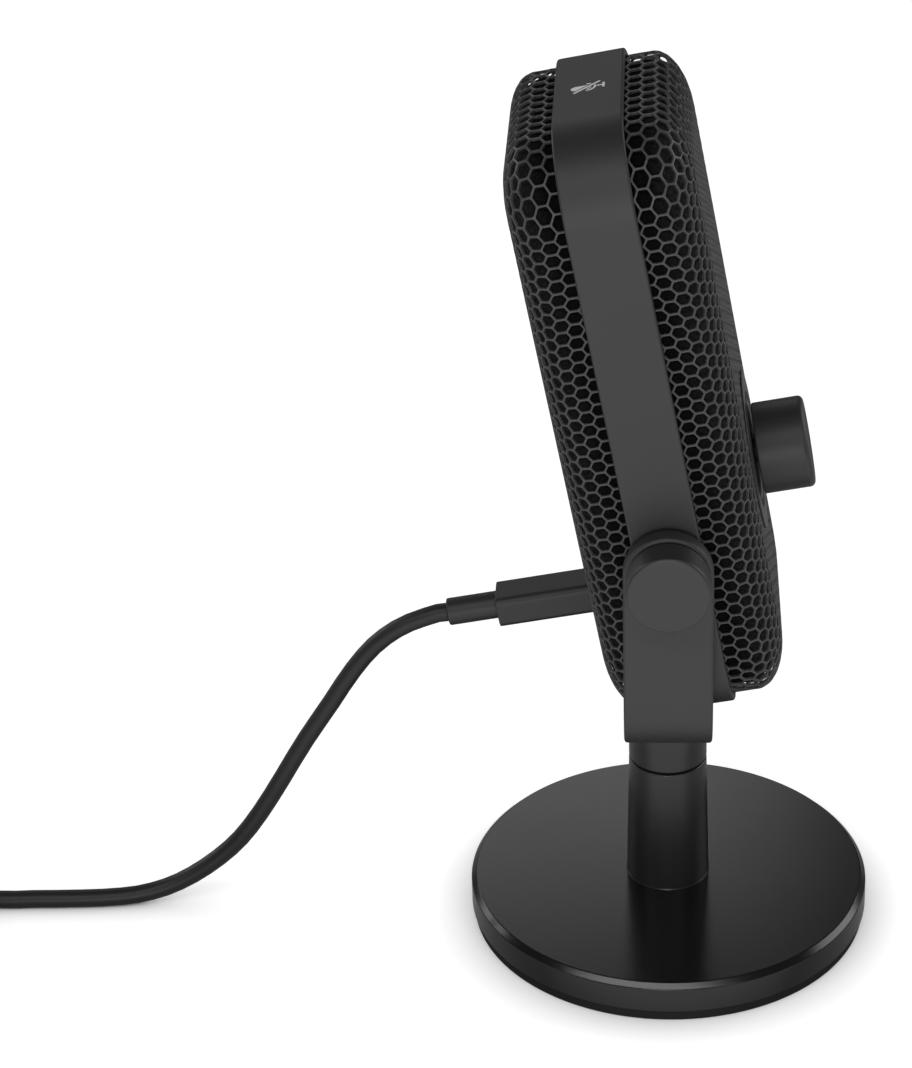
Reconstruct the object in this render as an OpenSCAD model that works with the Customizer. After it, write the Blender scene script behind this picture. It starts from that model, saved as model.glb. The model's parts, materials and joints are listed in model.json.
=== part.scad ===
// Desktop microphone on a swivel yoke with a weighted round base.
// Origin: centre of the base's underside. The dial faces -Y, the plug leaves at +Y.

/* [Base] */
// Diameter of the metal base plate
base_d = 100; // [80:1:140]
// Thickness of the metal base plate
plate_t = 8.1; // [7:0.1:14]
// Bevel around the top edge of the plate
plate_bevel = 1.3; // [0.5:0.1:2.5]
// Thickness of the rubber foot pad under the plate
pad_t = 2.7; // [2.4:0.1:5]
// How far the pad stands in from the plate's edge
pad_inset = 0.6; // [0.2:0.1:5]
// Diameter of the bolt that holds the post to the plate
base_bolt_d = 8; // [5:0.5:8]

/* [Post] */
// Diameter of the post and the collar at the seam between them
post_d = 19.3; // [18.5:0.1:26]
// Diameter of the post at its foot
post_foot_d = 20.7; // [19:0.1:32]
// Height of the fixed post
post_h = 33.9; // [32:0.1:80]
// Open seam between the post and the turning collar
seam = 0.5; // [0.3:0.1:1.5]
// Height of the turning collar
collar_h = 22.1; // [20:0.1:50]
// Diameter of the threaded stud the collar turns on
stud_d = 9.5; // [6:0.1:9.6]

/* [Yoke] */
// Width of the yoke's strap
arm_w = 20.7; // [17:0.1:26]
// Thickness of the two upright arms
arm_t = 4.6; // [3:0.1:8]
// Thickness of the crossbar under the head
bar_t = 4; // [3.6:0.1:8]
// Outside radius of the strap's two bends
bend_r = 18; // [10:0.5:22]
// Gap between each arm and the head's band
arm_gap = 1; // [0.6:0.1:3]
// Gap under the head where it swings past the crossbar
swing_gap = 1.1; // [0.6:0.1:10]

/* [Thumb knobs] */
// Diameter of the thumb knobs
knob_d = 19.2; // [14:0.1:26]
// Length of the thumb knobs
knob_h = 7.5; // [6:0.1:20]
// Gap between each knob and its arm
knob_gap = 0.5; // [0.3:0.1:1.5]
// Rounding of the knob's outer edge
knob_round = 0.8; // [0.3:0.1:2]
// Diameter of the knob's bolt
bolt_d = 6; // [4:0.1:6.5]

/* [Head] */
// Width of the head across the band
head_w = 74; // [66:0.5:110]
// Height of the head above the pivots
head_up = 103.4; // [90:0.5:150]
// Depth of the head below the pivots
head_down = 46.2; // [42:0.5:55]
// Corner radius of the band
head_r = 19; // [17.5:0.5:24]
// Width of the band, front to back
band_w = 15.8; // [14.6:0.1:19]
// Thickness of the band
band_t = 1.6; // [1:0.1:1.7]
// Bevel on the band's edges
band_bevel = 0.6; // [0.2:0.1:0.9]
// How far the head's middle plane stands in front of the pivots
head_shift = 0.4; // [0:0.1:0.5]
// Lean of the head, back from upright
lean = 10.1; // [0:0.1:12]

/* [Grille] */
// How far the grilles sit in from the band's outer face
grille_inset = 1.8; // [1.8:0.1:2.4]
// Depth of each grille from the head's middle plane
grille_depth = 21.25; // [20:0.05:24]
// Wall of the grilles
grille_t = 0.6; // [0.6:0.1:1.2]
// How far the rounded shoulder reaches in over the face
shoulder_in = 13.9; // [8:0.1:14.2]
// How far the rounded shoulder drops down the side
shoulder_drop = 7.5; // [4:0.1:9]

/* [Foam] */
// Wall of the foam liners
foam_t = 4; // [2:0.1:5]
// Corner radius of the foam liners
foam_r = 26; // [20:0.5:27]
// Gap between foam and grille
foam_gap = 0.2; // [0.2:0.1:1]

/* [Inner frame] */
// Width of the inner frame's rim, front to back
rim_w = 13.6; // [12.6:0.1:14]
// Thickness of the inner frame's rim
rim_t = 2.2; // [2:0.1:3]
// Thickness of the frame's middle web
web_t = 2; // [1.4:0.1:3]
// Gap where two fixed pieces meet without touching
seat = 0.2; // [0.1:0.05:0.3]
// Radial gap of the turning shafts in their holes
run_gap = 0.08; // [0.03:0.01:0.1]

/* [Capsule] */
// Diameter of the microphone capsule
capsule_d = 17; // [12:0.5:20]
// Length of the microphone capsule
capsule_h = 8; // [6:0.5:12]
// Height of the capsule above the pivots
capsule_up = 60; // [52:0.5:72]

/* [Circuit board] */
// Width of the main board
board_w = 46; // [42:0.5:52]
// Top of the main board above the pivots
board_up = 38; // [34:0.5:40]
// Bottom of the main board below the pivots
board_down = 30; // [27:0.5:33]
// Thickness of the boards
board_t = 1.6; // [1:0.1:2]
// Gap between the web and the main board
board_gap = 2; // [1.8:0.1:3]
// Diameter of the small screws
screw_d = 2; // [1.6:0.1:2.5]

/* [Dial] */
// Diameter of the dial
dial_d = 21.7; // [16:0.1:25]
// Length of the dial in front of its plate, with its cap
dial_h = 12.9; // [9:0.1:18]
// Gap behind the dial, which its press uses
dial_gap = 0.8; // [0.7:0.1:1.5]
// Thickness of the dial's front cap
cap_t = 1.7; // [1.4:0.1:3]
// Height of the dial's axis above the pivots
dial_up = 7.3; // [5:0.1:12]
// Diameter of the smooth round plate around the dial
dial_plate_d = 37.5; // [36:0.5:46]
// How far that plate stands out of the grille
dial_plate_t = 0.45; // [0.3:0.05:2.5]
// Width of the light ring in the plate
light_w = 1.6; // [1:0.1:2.5]
// Diameter of the dial's shaft
shaft_d = 6; // [5:0.1:6.4]

/* [Plug] */
// Drop of the cable socket below the pivots
port_down = 23.6; // [20:0.1:25]
// Width of the plug's grip
plug_w = 11; // [10.5:0.1:13]
// Thickness of the plug's grip
plug_t = 7.8; // [6.6:0.1:8.2]
// Length of the plug's grip
plug_h = 24.3; // [18:0.1:32]
// Diameter of the plug's strain relief
relief_d = 6.7; // [5.5:0.1:6.8]
// Length of the plug's strain relief
relief_h = 12.4; // [8:0.1:16]

/* [Cord] */
// Diameter of the cord
cord_d = 4.6; // [4:0.1:4.8]
// Diameter of the stored coil at the middle of its turns
coil_d = 50; // [46:1:54]
// Turns lying side by side in the coil
coil_wide = 4; // [3:1:4]
// Layers of turns in the coil
coil_high = 3; // [2:1:3]
// Thickness of the tie around the coil
tie_t = 0.8; // [0.4:0.1:1]
// Width of the tie around the coil
tie_w = 8; // [5:0.5:12]

/* [Hidden] */
$fn = 96;

// Heights up the stand
plate_top = pad_t + plate_t;
post_top = plate_top + post_h;
collar_z = post_top + seam;
bar_z = collar_z + collar_h;

// The head's lowest corners swing in a circle that clears the crossbar
band_reach = norm([head_down, band_w / 2 + head_shift]);
shell_reach = norm([head_down - grille_inset, grille_depth - shoulder_drop + head_shift]);
pivot_z = bar_z + bar_t + swing_gap + max(band_reach, shell_reach);
arm_in = head_w / 2 + arm_gap;
arm_out = arm_in + arm_t;

// Planes through the head, measured from its middle plane
plate_face = grille_depth + dial_plate_t;
board_y = web_t / 2 + board_gap;
encoder_w = 12;
encoder_front = 4;
spigot_d = dial_plate_d - 2.4;
spigot_back = grille_depth - 2.6;
leg_r = spigot_d / 2 - 3.8;
port_face = grille_depth + 0.6;
port_w = 28;
port_t = 14;
port_back = grille_depth - 3.2;
port_board_y = 11.8;
port_leg_x = 10.6;
port_board_w = 30;
port_board_h = 14;
link_w = 10;
link_t = 4;
socket_w = 9.2;
socket_t = 3.4;
plug_y = port_face + 0.3;

// Depths of holes and the heads of bolts and screws
bolt_head_d = base_bolt_d * 1.6;
base_recess = 5;
base_thread = 14;
washer_t = 1;
stud_in = 16;
insert_h = 14;
collar_screw_d = 5;
boss_wall = 2.2;
boss_d = bolt_d + 2 * boss_wall;
boss_x = head_w / 2 - band_t - seat - rim_t;
boss_flange_rim = 2;
boss_flange_d = boss_d + 2 * boss_flange_rim;
boss_flange_t = 2.4;
arm_washer_rim = 2.3;
bolt_in = 9;
holder_wall = 2.7;
holder_lip = 1.8;
holder_h = 6;
fix = 0.05;

// Stored length of the cord
coil_lift = tie_t;
coil_w = coil_wide * cord_d;
coil_t = coil_high * cord_d;
coil_at = [-28, 212];
tail_y = coil_at[1] + coil_d / 2 + coil_w / 2 - cord_d / 2;
tail_x = coil_at[0] - 24;
plug_end_z = 4.1;
cord_gap = 0.25;

// Route of the cord from its plug to the coil, as [x, y, z]
cord_route = [
    [0, 59, 84.7], [0, 65, 81.8], [0, 72, 76.3], [0, 78, 68.7], [0, 83.5, 59.9],
    [0, 91.3, 47.55], [0, 99.4, 33.3], [0, 105.8, 23.1], [0, 111.5, 16.1],
    [-0.4, 119, 9.8], [-1.1, 127, 5.2], [-2.1, 135, 2.9], [-3.1, 143, 2.35],
    [-3.8, 153, 2.3], [-4.1, 164, 2.3], [-4.3, 176, 2.3], [-4.3, 190, 2.3]
];

// Points of a rounded shoulder, as [inwards, down], from the side wall to the face
function shoulder(a, b, n) =
    [for (i = [0:n]) [a * (1 - cos(90 * i / n)), b * (1 - sin(90 * i / n))]];

// Section through a slab from its axis out to a wall at w
function half_section(w, d, a, b, n) =
    let (s = shoulder(a, b, n))
    concat(
        [[0, -d]],
        [for (i = [n:-1:0]) [w - s[i][0], s[i][1] - d]],
        [for (i = [0:n]) [w - s[i][0], d - s[i][1]]],
        [[0, d]]
    );

// Section through a slab between walls at lo and hi
function section(lo, hi, d, a, b, n) =
    let (s = shoulder(a, b, n))
    concat(
        [for (i = [n:-1:0]) [hi - s[i][0], s[i][1] - d]],
        [for (i = [0:n]) [hi - s[i][0], d - s[i][1]]],
        [for (i = [n:-1:0]) [lo + s[i][0], d - s[i][1]]],
        [for (i = [0:n]) [lo + s[i][0], s[i][1] - d]]
    );

// Upright slab with rounded corners, inset from the band's outline by t.
// Its faces lie at -d and d, and its shoulders are a wide and b deep.
module slab(t, r, d, a, b, n) {
    w = head_w / 2 - t;
    up = head_up - t;
    down = head_down - t;
    for (x = [r - w, w - r], z = [r - down, up - r])
        translate([x, 0, z])
            rotate([-90, 0, 0])
                rotate_extrude()
                    polygon(half_section(r, d, a, b, n));
    translate([0, 0, r - down])
        linear_extrude(height = up + down - 2 * r)
            polygon(section(-w, w, d, a, b, n));
    rotate([0, -90, 0])
        linear_extrude(height = 2 * (w - r), center = true)
            polygon(section(-down, up, d, a, b, n));
}

// Flat outline of the head in the XZ plane, inset by t, between y0 and y1
module outline_block(t, r, y0, y1) {
    w = head_w / 2 - t;
    up = head_up - t;
    down = head_down - t;
    translate([0, y1, 0])
        rotate([90, 0, 0])
            linear_extrude(height = y1 - y0) {
                for (x = [r - w, w - r], z = [r - down, up - r])
                    translate([x, z])
                        circle(r);
                translate([-w, r - down])
                    square([2 * w, up + down - 2 * r]);
                translate([r - w, -down])
                    square([2 * (w - r), up + down]);
            }
}

// Cylinder along Y from y0 to y1
module rod_y(d, y0, y1) {
    translate([0, y0, 0])
        rotate([-90, 0, 0])
            cylinder(d = d, h = y1 - y0);
}

// Cylinder along X from x0 to x1
module rod_x(d, x0, x1) {
    translate([x0, 0, 0])
        rotate([0, 90, 0])
            cylinder(d = d, h = x1 - x0);
}

// Bar along Y with rounded corners, w wide and t high
module bar_y(w, t, r, y0, y1) {
    translate([0, y1, 0])
        rotate([90, 0, 0])
            linear_extrude(height = y1 - y0) {
                for (x = [r - w / 2, w / 2 - r], z = [r - t / 2, t / 2 - r])
                    translate([x, z])
                        circle(r);
                square([w, t - 2 * r], center = true);
                square([w - 2 * r, t], center = true);
            }
}

// Solid of revolution about Y from [radius, y] points
module turned_y(points) {
    rotate([-90, 0, 0])
        rotate_extrude()
            polygon(points);
}

// Puts a piece in the leaning head, measured from the head's middle plane
module in_head() {
    translate([0, 0, pivot_z])
        rotate([-lean, 0, 0])
            translate([0, -head_shift, 0])
                children();
}

// Puts a piece on the pivots' line, on the right (+X) side
module at_pivot(side) {
    translate([0, 0, pivot_z])
        mirror([side < 0 ? 1 : 0, 0, 0])
            children();
}

// ---- Base and post ----

module base_plate() {
    r = base_d / 2;
    color([0.09, 0.09, 0.09])
        translate([0, 0, pad_t])
            difference() {
                rotate_extrude()
                    polygon([
                        [0, 0], [r - 0.4, 0], [r, 0.4], [r, plate_t - plate_bevel],
                        [r - plate_bevel, plate_t], [0, plate_t]
                    ]);
                translate([0, 0, -1])
                    cylinder(d = bolt_head_d + 6.4, h = base_recess + 1);
                cylinder(d = base_bolt_d + 0.6, h = plate_t + 1);
            }
}

module foot_pad() {
    color([0.05, 0.05, 0.05])
        difference() {
            cylinder(r = base_d / 2 - pad_inset, h = pad_t);
            translate([0, 0, -1])
                cylinder(d = bolt_head_d + 6.4, h = pad_t + 2);
        }
}

module base_washer() {
    color([0.7, 0.7, 0.7])
        translate([0, 0, pad_t + base_recess - washer_t - fix])
            difference() {
                cylinder(d = bolt_head_d + 3.6, h = washer_t);
                translate([0, 0, -1])
                    cylinder(d = base_bolt_d + 0.6, h = washer_t + 2);
            }
}

module base_bolt() {
    top = pad_t + base_recess - washer_t - 2 * fix;
    head_h = base_bolt_d * 0.56;
    color([0.35, 0.35, 0.36])
        difference() {
            union() {
                translate([0, 0, top - head_h])
                    cylinder(d = bolt_head_d, h = head_h);
                translate([0, 0, top - 0.5])
                    cylinder(d = base_bolt_d - 2 * fix, h = plate_top + base_thread - 1 - top);
            }
            translate([0, 0, top - head_h - 1])
                cylinder(d = base_bolt_d * 0.8, h = head_h * 0.6 + 1, $fn = 6);
        }
}

module post() {
    color([0.1, 0.1, 0.1])
        translate([0, 0, plate_top])
            difference() {
                cylinder(d1 = post_foot_d, d2 = post_d, h = post_h);
                translate([0, 0, -1])
                    cylinder(d = base_bolt_d, h = base_thread + 1);
                translate([0, 0, post_h - stud_in])
                    cylinder(d = stud_d + 2 * fix, h = stud_in + 1);
            }
}

module post_stud() {
    color([0.6, 0.6, 0.6])
        translate([0, 0, post_top - stud_in + fix])
            cylinder(d = stud_d, h = stud_in + seam + insert_h - 1);
}

// ---- Yoke ----

module swivel_washer() {
    color([0.02, 0.02, 0.02])
        translate([0, 0, post_top + fix])
            difference() {
                cylinder(d = post_d - 1.6, h = seam - 2 * fix);
                translate([0, 0, -1])
                    cylinder(d = stud_d + 0.4, h = seam + 2);
            }
}

module collar() {
    color([0.1, 0.1, 0.1])
        translate([0, 0, collar_z])
            difference() {
                cylinder(d = post_d, h = collar_h);
                translate([0, 0, -1])
                    cylinder(d = stud_d + 4.6, h = insert_h + 1.2);
                translate([0, 0, insert_h])
                    cylinder(d = collar_screw_d, h = collar_h);
            }
}

module collar_insert() {
    color([0.75, 0.6, 0.3])
        translate([0, 0, collar_z + 0.1])
            difference() {
                cylinder(d = stud_d + 4.6 - 2 * fix, h = insert_h);
                translate([0, 0, -1])
                    cylinder(d = stud_d + 2 * run_gap, h = insert_h + 2);
            }
}

module collar_screw() {
    head_r = collar_screw_d * 0.95;
    top = bar_z + bar_t - 0.2;
    sink = head_r - collar_screw_d / 2;
    color([0.3, 0.3, 0.31])
        difference() {
            union() {
                translate([0, 0, top - sink])
                    cylinder(r1 = collar_screw_d / 2 - fix, r2 = head_r - fix, h = sink);
                translate([0, 0, bar_z - collar_h + insert_h + 1])
                    cylinder(d = collar_screw_d - 2 * fix, h = collar_h - insert_h - 1 + bar_t - 0.2 - sink);
            }
            translate([0, 0, top - 1.6])
                cylinder(d = collar_screw_d * 0.6, h = 2, $fn = 6);
        }
}

// Outline of a U from the crossbar's face at z up to the pivots
module u_shape(x, z, r, top) {
    for (s = [-1, 1])
        translate([s * (x - r), z + r])
            circle(r);
    translate([-x, z + r])
        square([2 * x, top - z - r]);
    translate([r - x, z])
        square([2 * (x - r), top - z]);
}

module yoke() {
    top = pivot_z + arm_w / 2;
    screw_r = collar_screw_d / 2;
    head_r = collar_screw_d * 0.95;
    sink = head_r - screw_r;
    color([0.12, 0.12, 0.12])
        difference() {
            intersection() {
                translate([0, arm_w / 2, 0])
                    rotate([90, 0, 0])
                        linear_extrude(height = arm_w)
                            difference() {
                                u_shape(arm_out, bar_z, bend_r, top);
                                u_shape(arm_in, bar_z + bar_t, max(bend_r - arm_t, 2), top + 1);
                            }
                union() {
                    translate([-arm_out - 1, -arm_w / 2, bar_z - 1])
                        cube([2 * arm_out + 2, arm_w, pivot_z - bar_z + 1]);
                    translate([0, 0, pivot_z])
                        rod_x(arm_w, -arm_out - 1, arm_out + 1);
                }
            }
            translate([0, 0, pivot_z])
                rod_x(bolt_d + 2 * run_gap, -arm_out - 1, arm_out + 1);
            translate([0, 0, bar_z - 1])
                cylinder(r = screw_r, h = bar_t + 2);
            translate([0, 0, bar_z + bar_t - 0.2 - sink])
                cylinder(r1 = screw_r, r2 = head_r, h = sink);
            translate([0, 0, bar_z + bar_t - 0.2])
                cylinder(r = head_r, h = 1);
        }
}

module arm_washers() {
    color([0.04, 0.04, 0.04])
        for (side = [-1, 1])
            at_pivot(side)
                difference() {
                    rod_x(boss_d + 2 * arm_washer_rim, head_w / 2 + fix, arm_in - fix);
                    rod_x(bolt_d + 0.4, head_w / 2 - 1, arm_in + 1);
                }
}

// ---- Thumb knobs ----

module knob(side) {
    x0 = arm_out + knob_gap;
    r = knob_d / 2;
    c = knob_round;
    steps = 4;
    edge = [for (i = [0:steps]) [r - c * (1 - cos(90 * i / steps)), knob_h - c * (1 - sin(90 * i / steps))]];
    color([0.13, 0.13, 0.13])
        at_pivot(side)
            difference() {
                translate([x0, 0, 0])
                    rotate([0, 90, 0])
                        rotate_extrude()
                            polygon(concat([[0, 0], [r - 0.3, 0], [r, 0.3]], edge, [[0, knob_h]]));
                rod_x(bolt_d, x0 - 1, x0 + knob_h - 2);
            }
}

module bolt(side) {
    color([0.55, 0.55, 0.55])
        at_pivot(side)
            rod_x(bolt_d - 2 * fix, head_w / 2 - bolt_in, arm_out + knob_gap + knob_h - 2.1);
}

module knob_washer(side) {
    color([0.02, 0.02, 0.02])
        at_pivot(side)
            difference() {
                rod_x(knob_d - 2.4, arm_out + fix, arm_out + knob_gap - fix);
                rod_x(bolt_d + 0.2, arm_out - 1, arm_out + knob_gap + 1);
            }
}

module left_knob() {
    knob(-1);
}

module left_bolt() {
    bolt(-1);
}

module left_knob_washer() {
    knob_washer(-1);
}

module right_knob() {
    knob(1);
}

module right_bolt() {
    bolt(1);
}

module right_knob_washer() {
    knob_washer(1);
}

// ---- Head ----

// Space for the pivot bosses, through the band and the frame's rim
module boss_holes(gap) {
    translate([0, head_shift, 0])
        rod_x(boss_d + 2 * gap, -head_w, head_w);
}

module band() {
    color([0.13, 0.13, 0.13])
        in_head()
            difference() {
                slab(0, head_r, band_w / 2, band_bevel, band_bevel, 1);
                outline_block(band_t, head_r - band_t, -band_w, band_w);
                boss_holes(seat / 2);
            }
}

module chassis() {
    t = band_t + seat;
    color([0.2, 0.2, 0.21])
        in_head() {
            difference() {
                outline_block(t, head_r - t, -rim_w / 2, rim_w / 2);
                outline_block(t + rim_t, head_r - t - rim_t, -rim_w, -web_t / 2);
                outline_block(t + rim_t, head_r - t - rim_t, web_t / 2, rim_w);
                boss_holes(seat / 2);
                for (side = [-1, 1])
                    mirror([side < 0 ? 1 : 0, 0, 0])
                        translate([0, head_shift, 0])
                            rod_x(boss_flange_d + 2 * seat, head_w / 2 - bolt_in - 1, boss_x);
                translate([0, 0, capsule_up])
                    rod_y(capsule_d + 5.4, -5, 5);
                translate([0, 0, dial_up])
                    rod_y(encoder_w * 1.5 + 1, -5, 5);
                for (a = [90, 210, 330])
                    translate([leg_r * cos(a), 0, dial_up + leg_r * sin(a)])
                        rod_y(screw_d + 0.2, -5, 5);
                translate([-15, -6, head_up - t - 1.1])
                    cube([30, 12, 2]);
            }
            for (x = [4 - board_w / 2, board_w / 2 - 4], z = [4 - board_down, board_up - 4])
                translate([x, 0, z])
                    difference() {
                        rod_y(5, 0, board_y - fix);
                        rod_y(screw_d, -0.5, board_y + 1);
                    }
        }
}

module pivot_bosses() {
    color([0.7, 0.7, 0.68])
        for (side = [-1, 1])
            at_pivot(side)
                difference() {
                    union() {
                        rod_x(boss_d, boss_x - 1, head_w / 2);
                        rod_x(boss_flange_d, boss_x - boss_flange_t - fix, boss_x - fix);
                    }
                    rod_x(bolt_d + 2 * fix, boss_x - 10, head_w / 2 + 1);
                }
}

// Pressed shell of the grille, front (-1) or rear (1)
module grille(side) {
    t = grille_inset;
    r = head_r - t;
    w = grille_t;
    near = rim_w / 2 + seat;
    difference() {
        slab(t, r, grille_depth, shoulder_in, shoulder_drop, 8);
        slab(t + w, r - w, grille_depth - w, shoulder_in, shoulder_drop, 8);
        translate([-head_w, side > 0 ? near - 60 : -near, -head_down - 10])
            cube([2 * head_w, 60, head_up + head_down + 20]);
    }
}

module front_grille() {
    color([0.25, 0.25, 0.25])
        in_head()
            difference() {
                grille(-1);
                translate([0, 0, dial_up])
                    rod_y(spigot_d + 2 * seat, -grille_depth - 5, -grille_depth + 5);
            }
}

module rear_grille() {
    color([0.25, 0.25, 0.25])
        in_head()
            difference() {
                grille(1);
                translate([0, 0, -port_down])
                    bar_y(port_w - 2 + 2 * seat, port_t - 2 + 2 * seat, 5, grille_depth - 5, grille_depth + 5);
            }
}

// Hollow foam liner behind a grille
module foam(side) {
    t = grille_inset + grille_t + foam_gap;
    d = grille_depth - grille_t - foam_gap;
    near = rim_w / 2 + seat + 0.1;
    difference() {
        slab(t, foam_r, d, shoulder_in, shoulder_drop + 0.6, 6);
        outline_block(t + foam_t, foam_r - foam_t, foam_t - d, d - foam_t);
        translate([-head_w, side > 0 ? near - 60 : -near, -head_down - 10])
            cube([2 * head_w, 60, head_up + head_down + 20]);
        translate([0, head_shift, 0])
            rod_x(boss_flange_d + 4 * seat, -head_w, head_w);
    }
}

module front_foam() {
    color([0.03, 0.03, 0.03])
        in_head()
            difference() {
                foam(-1);
                translate([0, 0, dial_up])
                    rod_y(spigot_d + 1.2, -grille_depth - 5, -5);
            }
}

module rear_foam() {
    color([0.03, 0.03, 0.03])
        in_head()
            difference() {
                foam(1);
                translate([0, 0, -port_down])
                    bar_y(port_w + 4, port_t + 6, 5, 5, grille_depth + 5);
            }
}

module capsule() {
    color([0.7, 0.65, 0.5])
        in_head()
            translate([0, 0, capsule_up])
                difference() {
                    rod_y(capsule_d, -capsule_h / 2 - 1, capsule_h / 2 - 1);
                    rod_y(capsule_d - 4, -capsule_h, -capsule_h / 2 - 0.5);
                }
}

module capsule_holder() {
    r = capsule_d / 2 + fix;
    g = capsule_d / 2 + holder_wall - fix;
    rim = g + holder_lip;
    z = holder_h / 2;
    notch = web_t / 2 + fix;
    color([0.08, 0.08, 0.08])
        in_head()
            translate([0, 0, capsule_up])
                turned_y([
                    [r, -z], [rim, -z], [rim, -notch], [g, -notch],
                    [g, notch], [rim, notch], [rim, z], [r, z]
                ]);
}

module circuit_board() {
    color([0.05, 0.25, 0.12])
        in_head()
            difference() {
                translate([-board_w / 2, board_y, -board_down])
                    cube([board_w, board_t, board_up + board_down]);
                for (x = [4 - board_w / 2, board_w / 2 - 4], z = [4 - board_down, board_up - 4])
                    translate([x, 0, z])
                        rod_y(screw_d + 0.2, 0, board_y + board_t + 1);
            }
}

// Pan-head screw along Y: its head lies behind y0 and its shank runs to -Y
module small_screw(y0, len) {
    rod_y(screw_d * 1.9, y0 + fix, y0 + fix + screw_d * 0.6);
    rod_y(screw_d - 2 * fix, y0 - len, y0 + 0.5);
}

module board_screws() {
    color([0.6, 0.6, 0.6])
        in_head()
            for (x = [4 - board_w / 2, board_w / 2 - 4], z = [4 - board_down, board_up - 4])
                translate([x, 0, z])
                    small_screw(board_y + board_t, board_t + board_gap);
}

module touch_sensor() {
    color([0.05, 0.25, 0.12])
        in_head()
            translate([-14, -5.5, head_up - band_t - seat - 1])
                cube([28, 11, 0.9]);
}

// ---- Dial ----

module dial_plate() {
    light_r = dial_d / 2 + 1.4;
    color([0.1, 0.1, 0.1])
        in_head()
            translate([0, 0, dial_up]) {
                difference() {
                    union() {
                        rod_y(dial_plate_d, -plate_face, -grille_depth - 0.02);
                        rod_y(spigot_d, -grille_depth - 0.1, -spigot_back);
                    }
                    rod_y(shaft_d + 1, -plate_face - 1, 0);
                    difference() {
                        rod_y(2 * (light_r + light_w) + 0.1, -plate_face - 1, 1.6 - plate_face);
                        rod_y(2 * light_r - 0.1, -plate_face - 2, 2 - plate_face);
                    }
                }
                for (a = [90, 210, 330])
                    translate([leg_r * cos(a), 0, leg_r * sin(a)])
                        difference() {
                            rod_y(4.6, -spigot_back - 1, -web_t / 2 - fix);
                            rod_y(screw_d, -10, 0);
                        }
            }
}

module plate_screws() {
    color([0.6, 0.6, 0.6])
        in_head()
            translate([0, 0, dial_up])
                for (a = [90, 210, 330])
                    translate([leg_r * cos(a), 0, leg_r * sin(a)])
                        small_screw(web_t / 2, web_t + 6);
}

module light_ring() {
    light_r = dial_d / 2 + 1.4;
    color([0.1, 0.1, 0.11])
        in_head()
            translate([0, 0, dial_up])
                difference() {
                    rod_y(2 * (light_r + light_w), -plate_face - 0.1, 1.5 - plate_face);
                    rod_y(2 * light_r, -plate_face - 1, 2 - plate_face);
                }
}

module encoder() {
    color([0.25, 0.3, 0.28])
        in_head()
            translate([0, 0, dial_up])
                difference() {
                    union() {
                        translate([-encoder_w / 2, -encoder_front, -encoder_w / 2])
                            cube([encoder_w, encoder_front + board_y - fix, encoder_w]);
                        rod_y(shaft_d + 3, -encoder_front - 5, -encoder_front + 1);
                    }
                    rod_y(shaft_d + 2 * run_gap, -encoder_front - 6, 1.2);
                }
}

module encoder_plunger() {
    color([0.8, 0.8, 0.78])
        in_head()
            translate([0, 0, dial_up])
                rod_y(shaft_d - 0.6, -0.9, 0.4);
}

module dial_shaft() {
    color([0.65, 0.65, 0.65])
        in_head()
            translate([0, 0, dial_up])
                rod_y(shaft_d, -plate_face - dial_h + cap_t + 2, -1);
}

module dial() {
    r = dial_d / 2;
    front = -plate_face - dial_gap - dial_h + dial_gap + cap_t;
    back = -plate_face - dial_gap;
    color([0.13, 0.13, 0.13])
        in_head()
            translate([0, 0, dial_up])
                difference() {
                    turned_y([
                        [0, back], [r - 0.4, back], [r, back - 0.4], [r, front + 0.15],
                        [r - 0.3, front], [0, front]
                    ]);
                    rod_y(shaft_d + 2 * fix, front + 1.9, back + 1);
                }
}

module dial_cap() {
    r = dial_d / 2;
    c = 1.2;
    back = -plate_face - dial_h + cap_t - fix;
    front = -plate_face - dial_h;
    edge = [for (i = [0:4]) [r - c * (1 - cos(22.5 * i)), front + c * (1 - sin(22.5 * i))]];
    color([0.16, 0.16, 0.16])
        in_head()
            translate([0, 0, dial_up])
                turned_y(concat(
                    [[0, back], [r - 0.3, back], [r, back - 0.15]],
                    edge,
                    [[r - 2, front], [r - 2.6, front + 0.4], [0, front + 0.4]]
                ));
}

// ---- Cable socket and plug ----

module port_plate() {
    color([0.1, 0.1, 0.1])
        in_head()
            translate([0, 0, -port_down]) {
                difference() {
                    union() {
                        bar_y(port_w, port_t, 5.5, grille_depth + 0.02, port_face);
                        bar_y(port_w - 2, port_t - 2, 4.5, port_back, grille_depth + 0.1);
                    }
                    bar_y(socket_w + 0.6, socket_t + 0.6, 1.9, port_back - 1, port_face + 1);
                }
                for (s = [-1, 1])
                    translate([s * port_leg_x, 0, 0])
                        difference() {
                            rod_y(4, port_board_y + board_t + fix, port_back + 1);
                            rod_y(screw_d, port_board_y, port_back - 1);
                        }
            }
}

module port_board() {
    color([0.05, 0.25, 0.12])
        in_head()
            difference() {
                translate([-port_board_w / 2, port_board_y, -port_down - port_board_h / 2])
                    cube([port_board_w, board_t, port_board_h]);
                for (s = [-1, 1])
                    translate([s * port_leg_x, 0, -port_down])
                        rod_y(screw_d + 0.2, 0, port_board_y + board_t + 1);
            }
}

module port_screws() {
    color([0.6, 0.6, 0.6])
        in_head()
            for (s = [-1, 1])
                translate([s * port_leg_x, 0, -port_down]) {
                    rod_y(screw_d * 1.9, port_board_y - fix - screw_d * 0.6, port_board_y - fix);
                    rod_y(screw_d - 2 * fix, port_board_y - 0.5, port_back - 1.2);
                }
}

module board_link() {
    color([0.15, 0.15, 0.15])
        in_head()
            translate([-link_w / 2, board_y + board_t + fix, -port_down - link_t / 2])
                cube([link_w, port_board_y - board_y - board_t - 2 * fix, link_t]);
}

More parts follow.
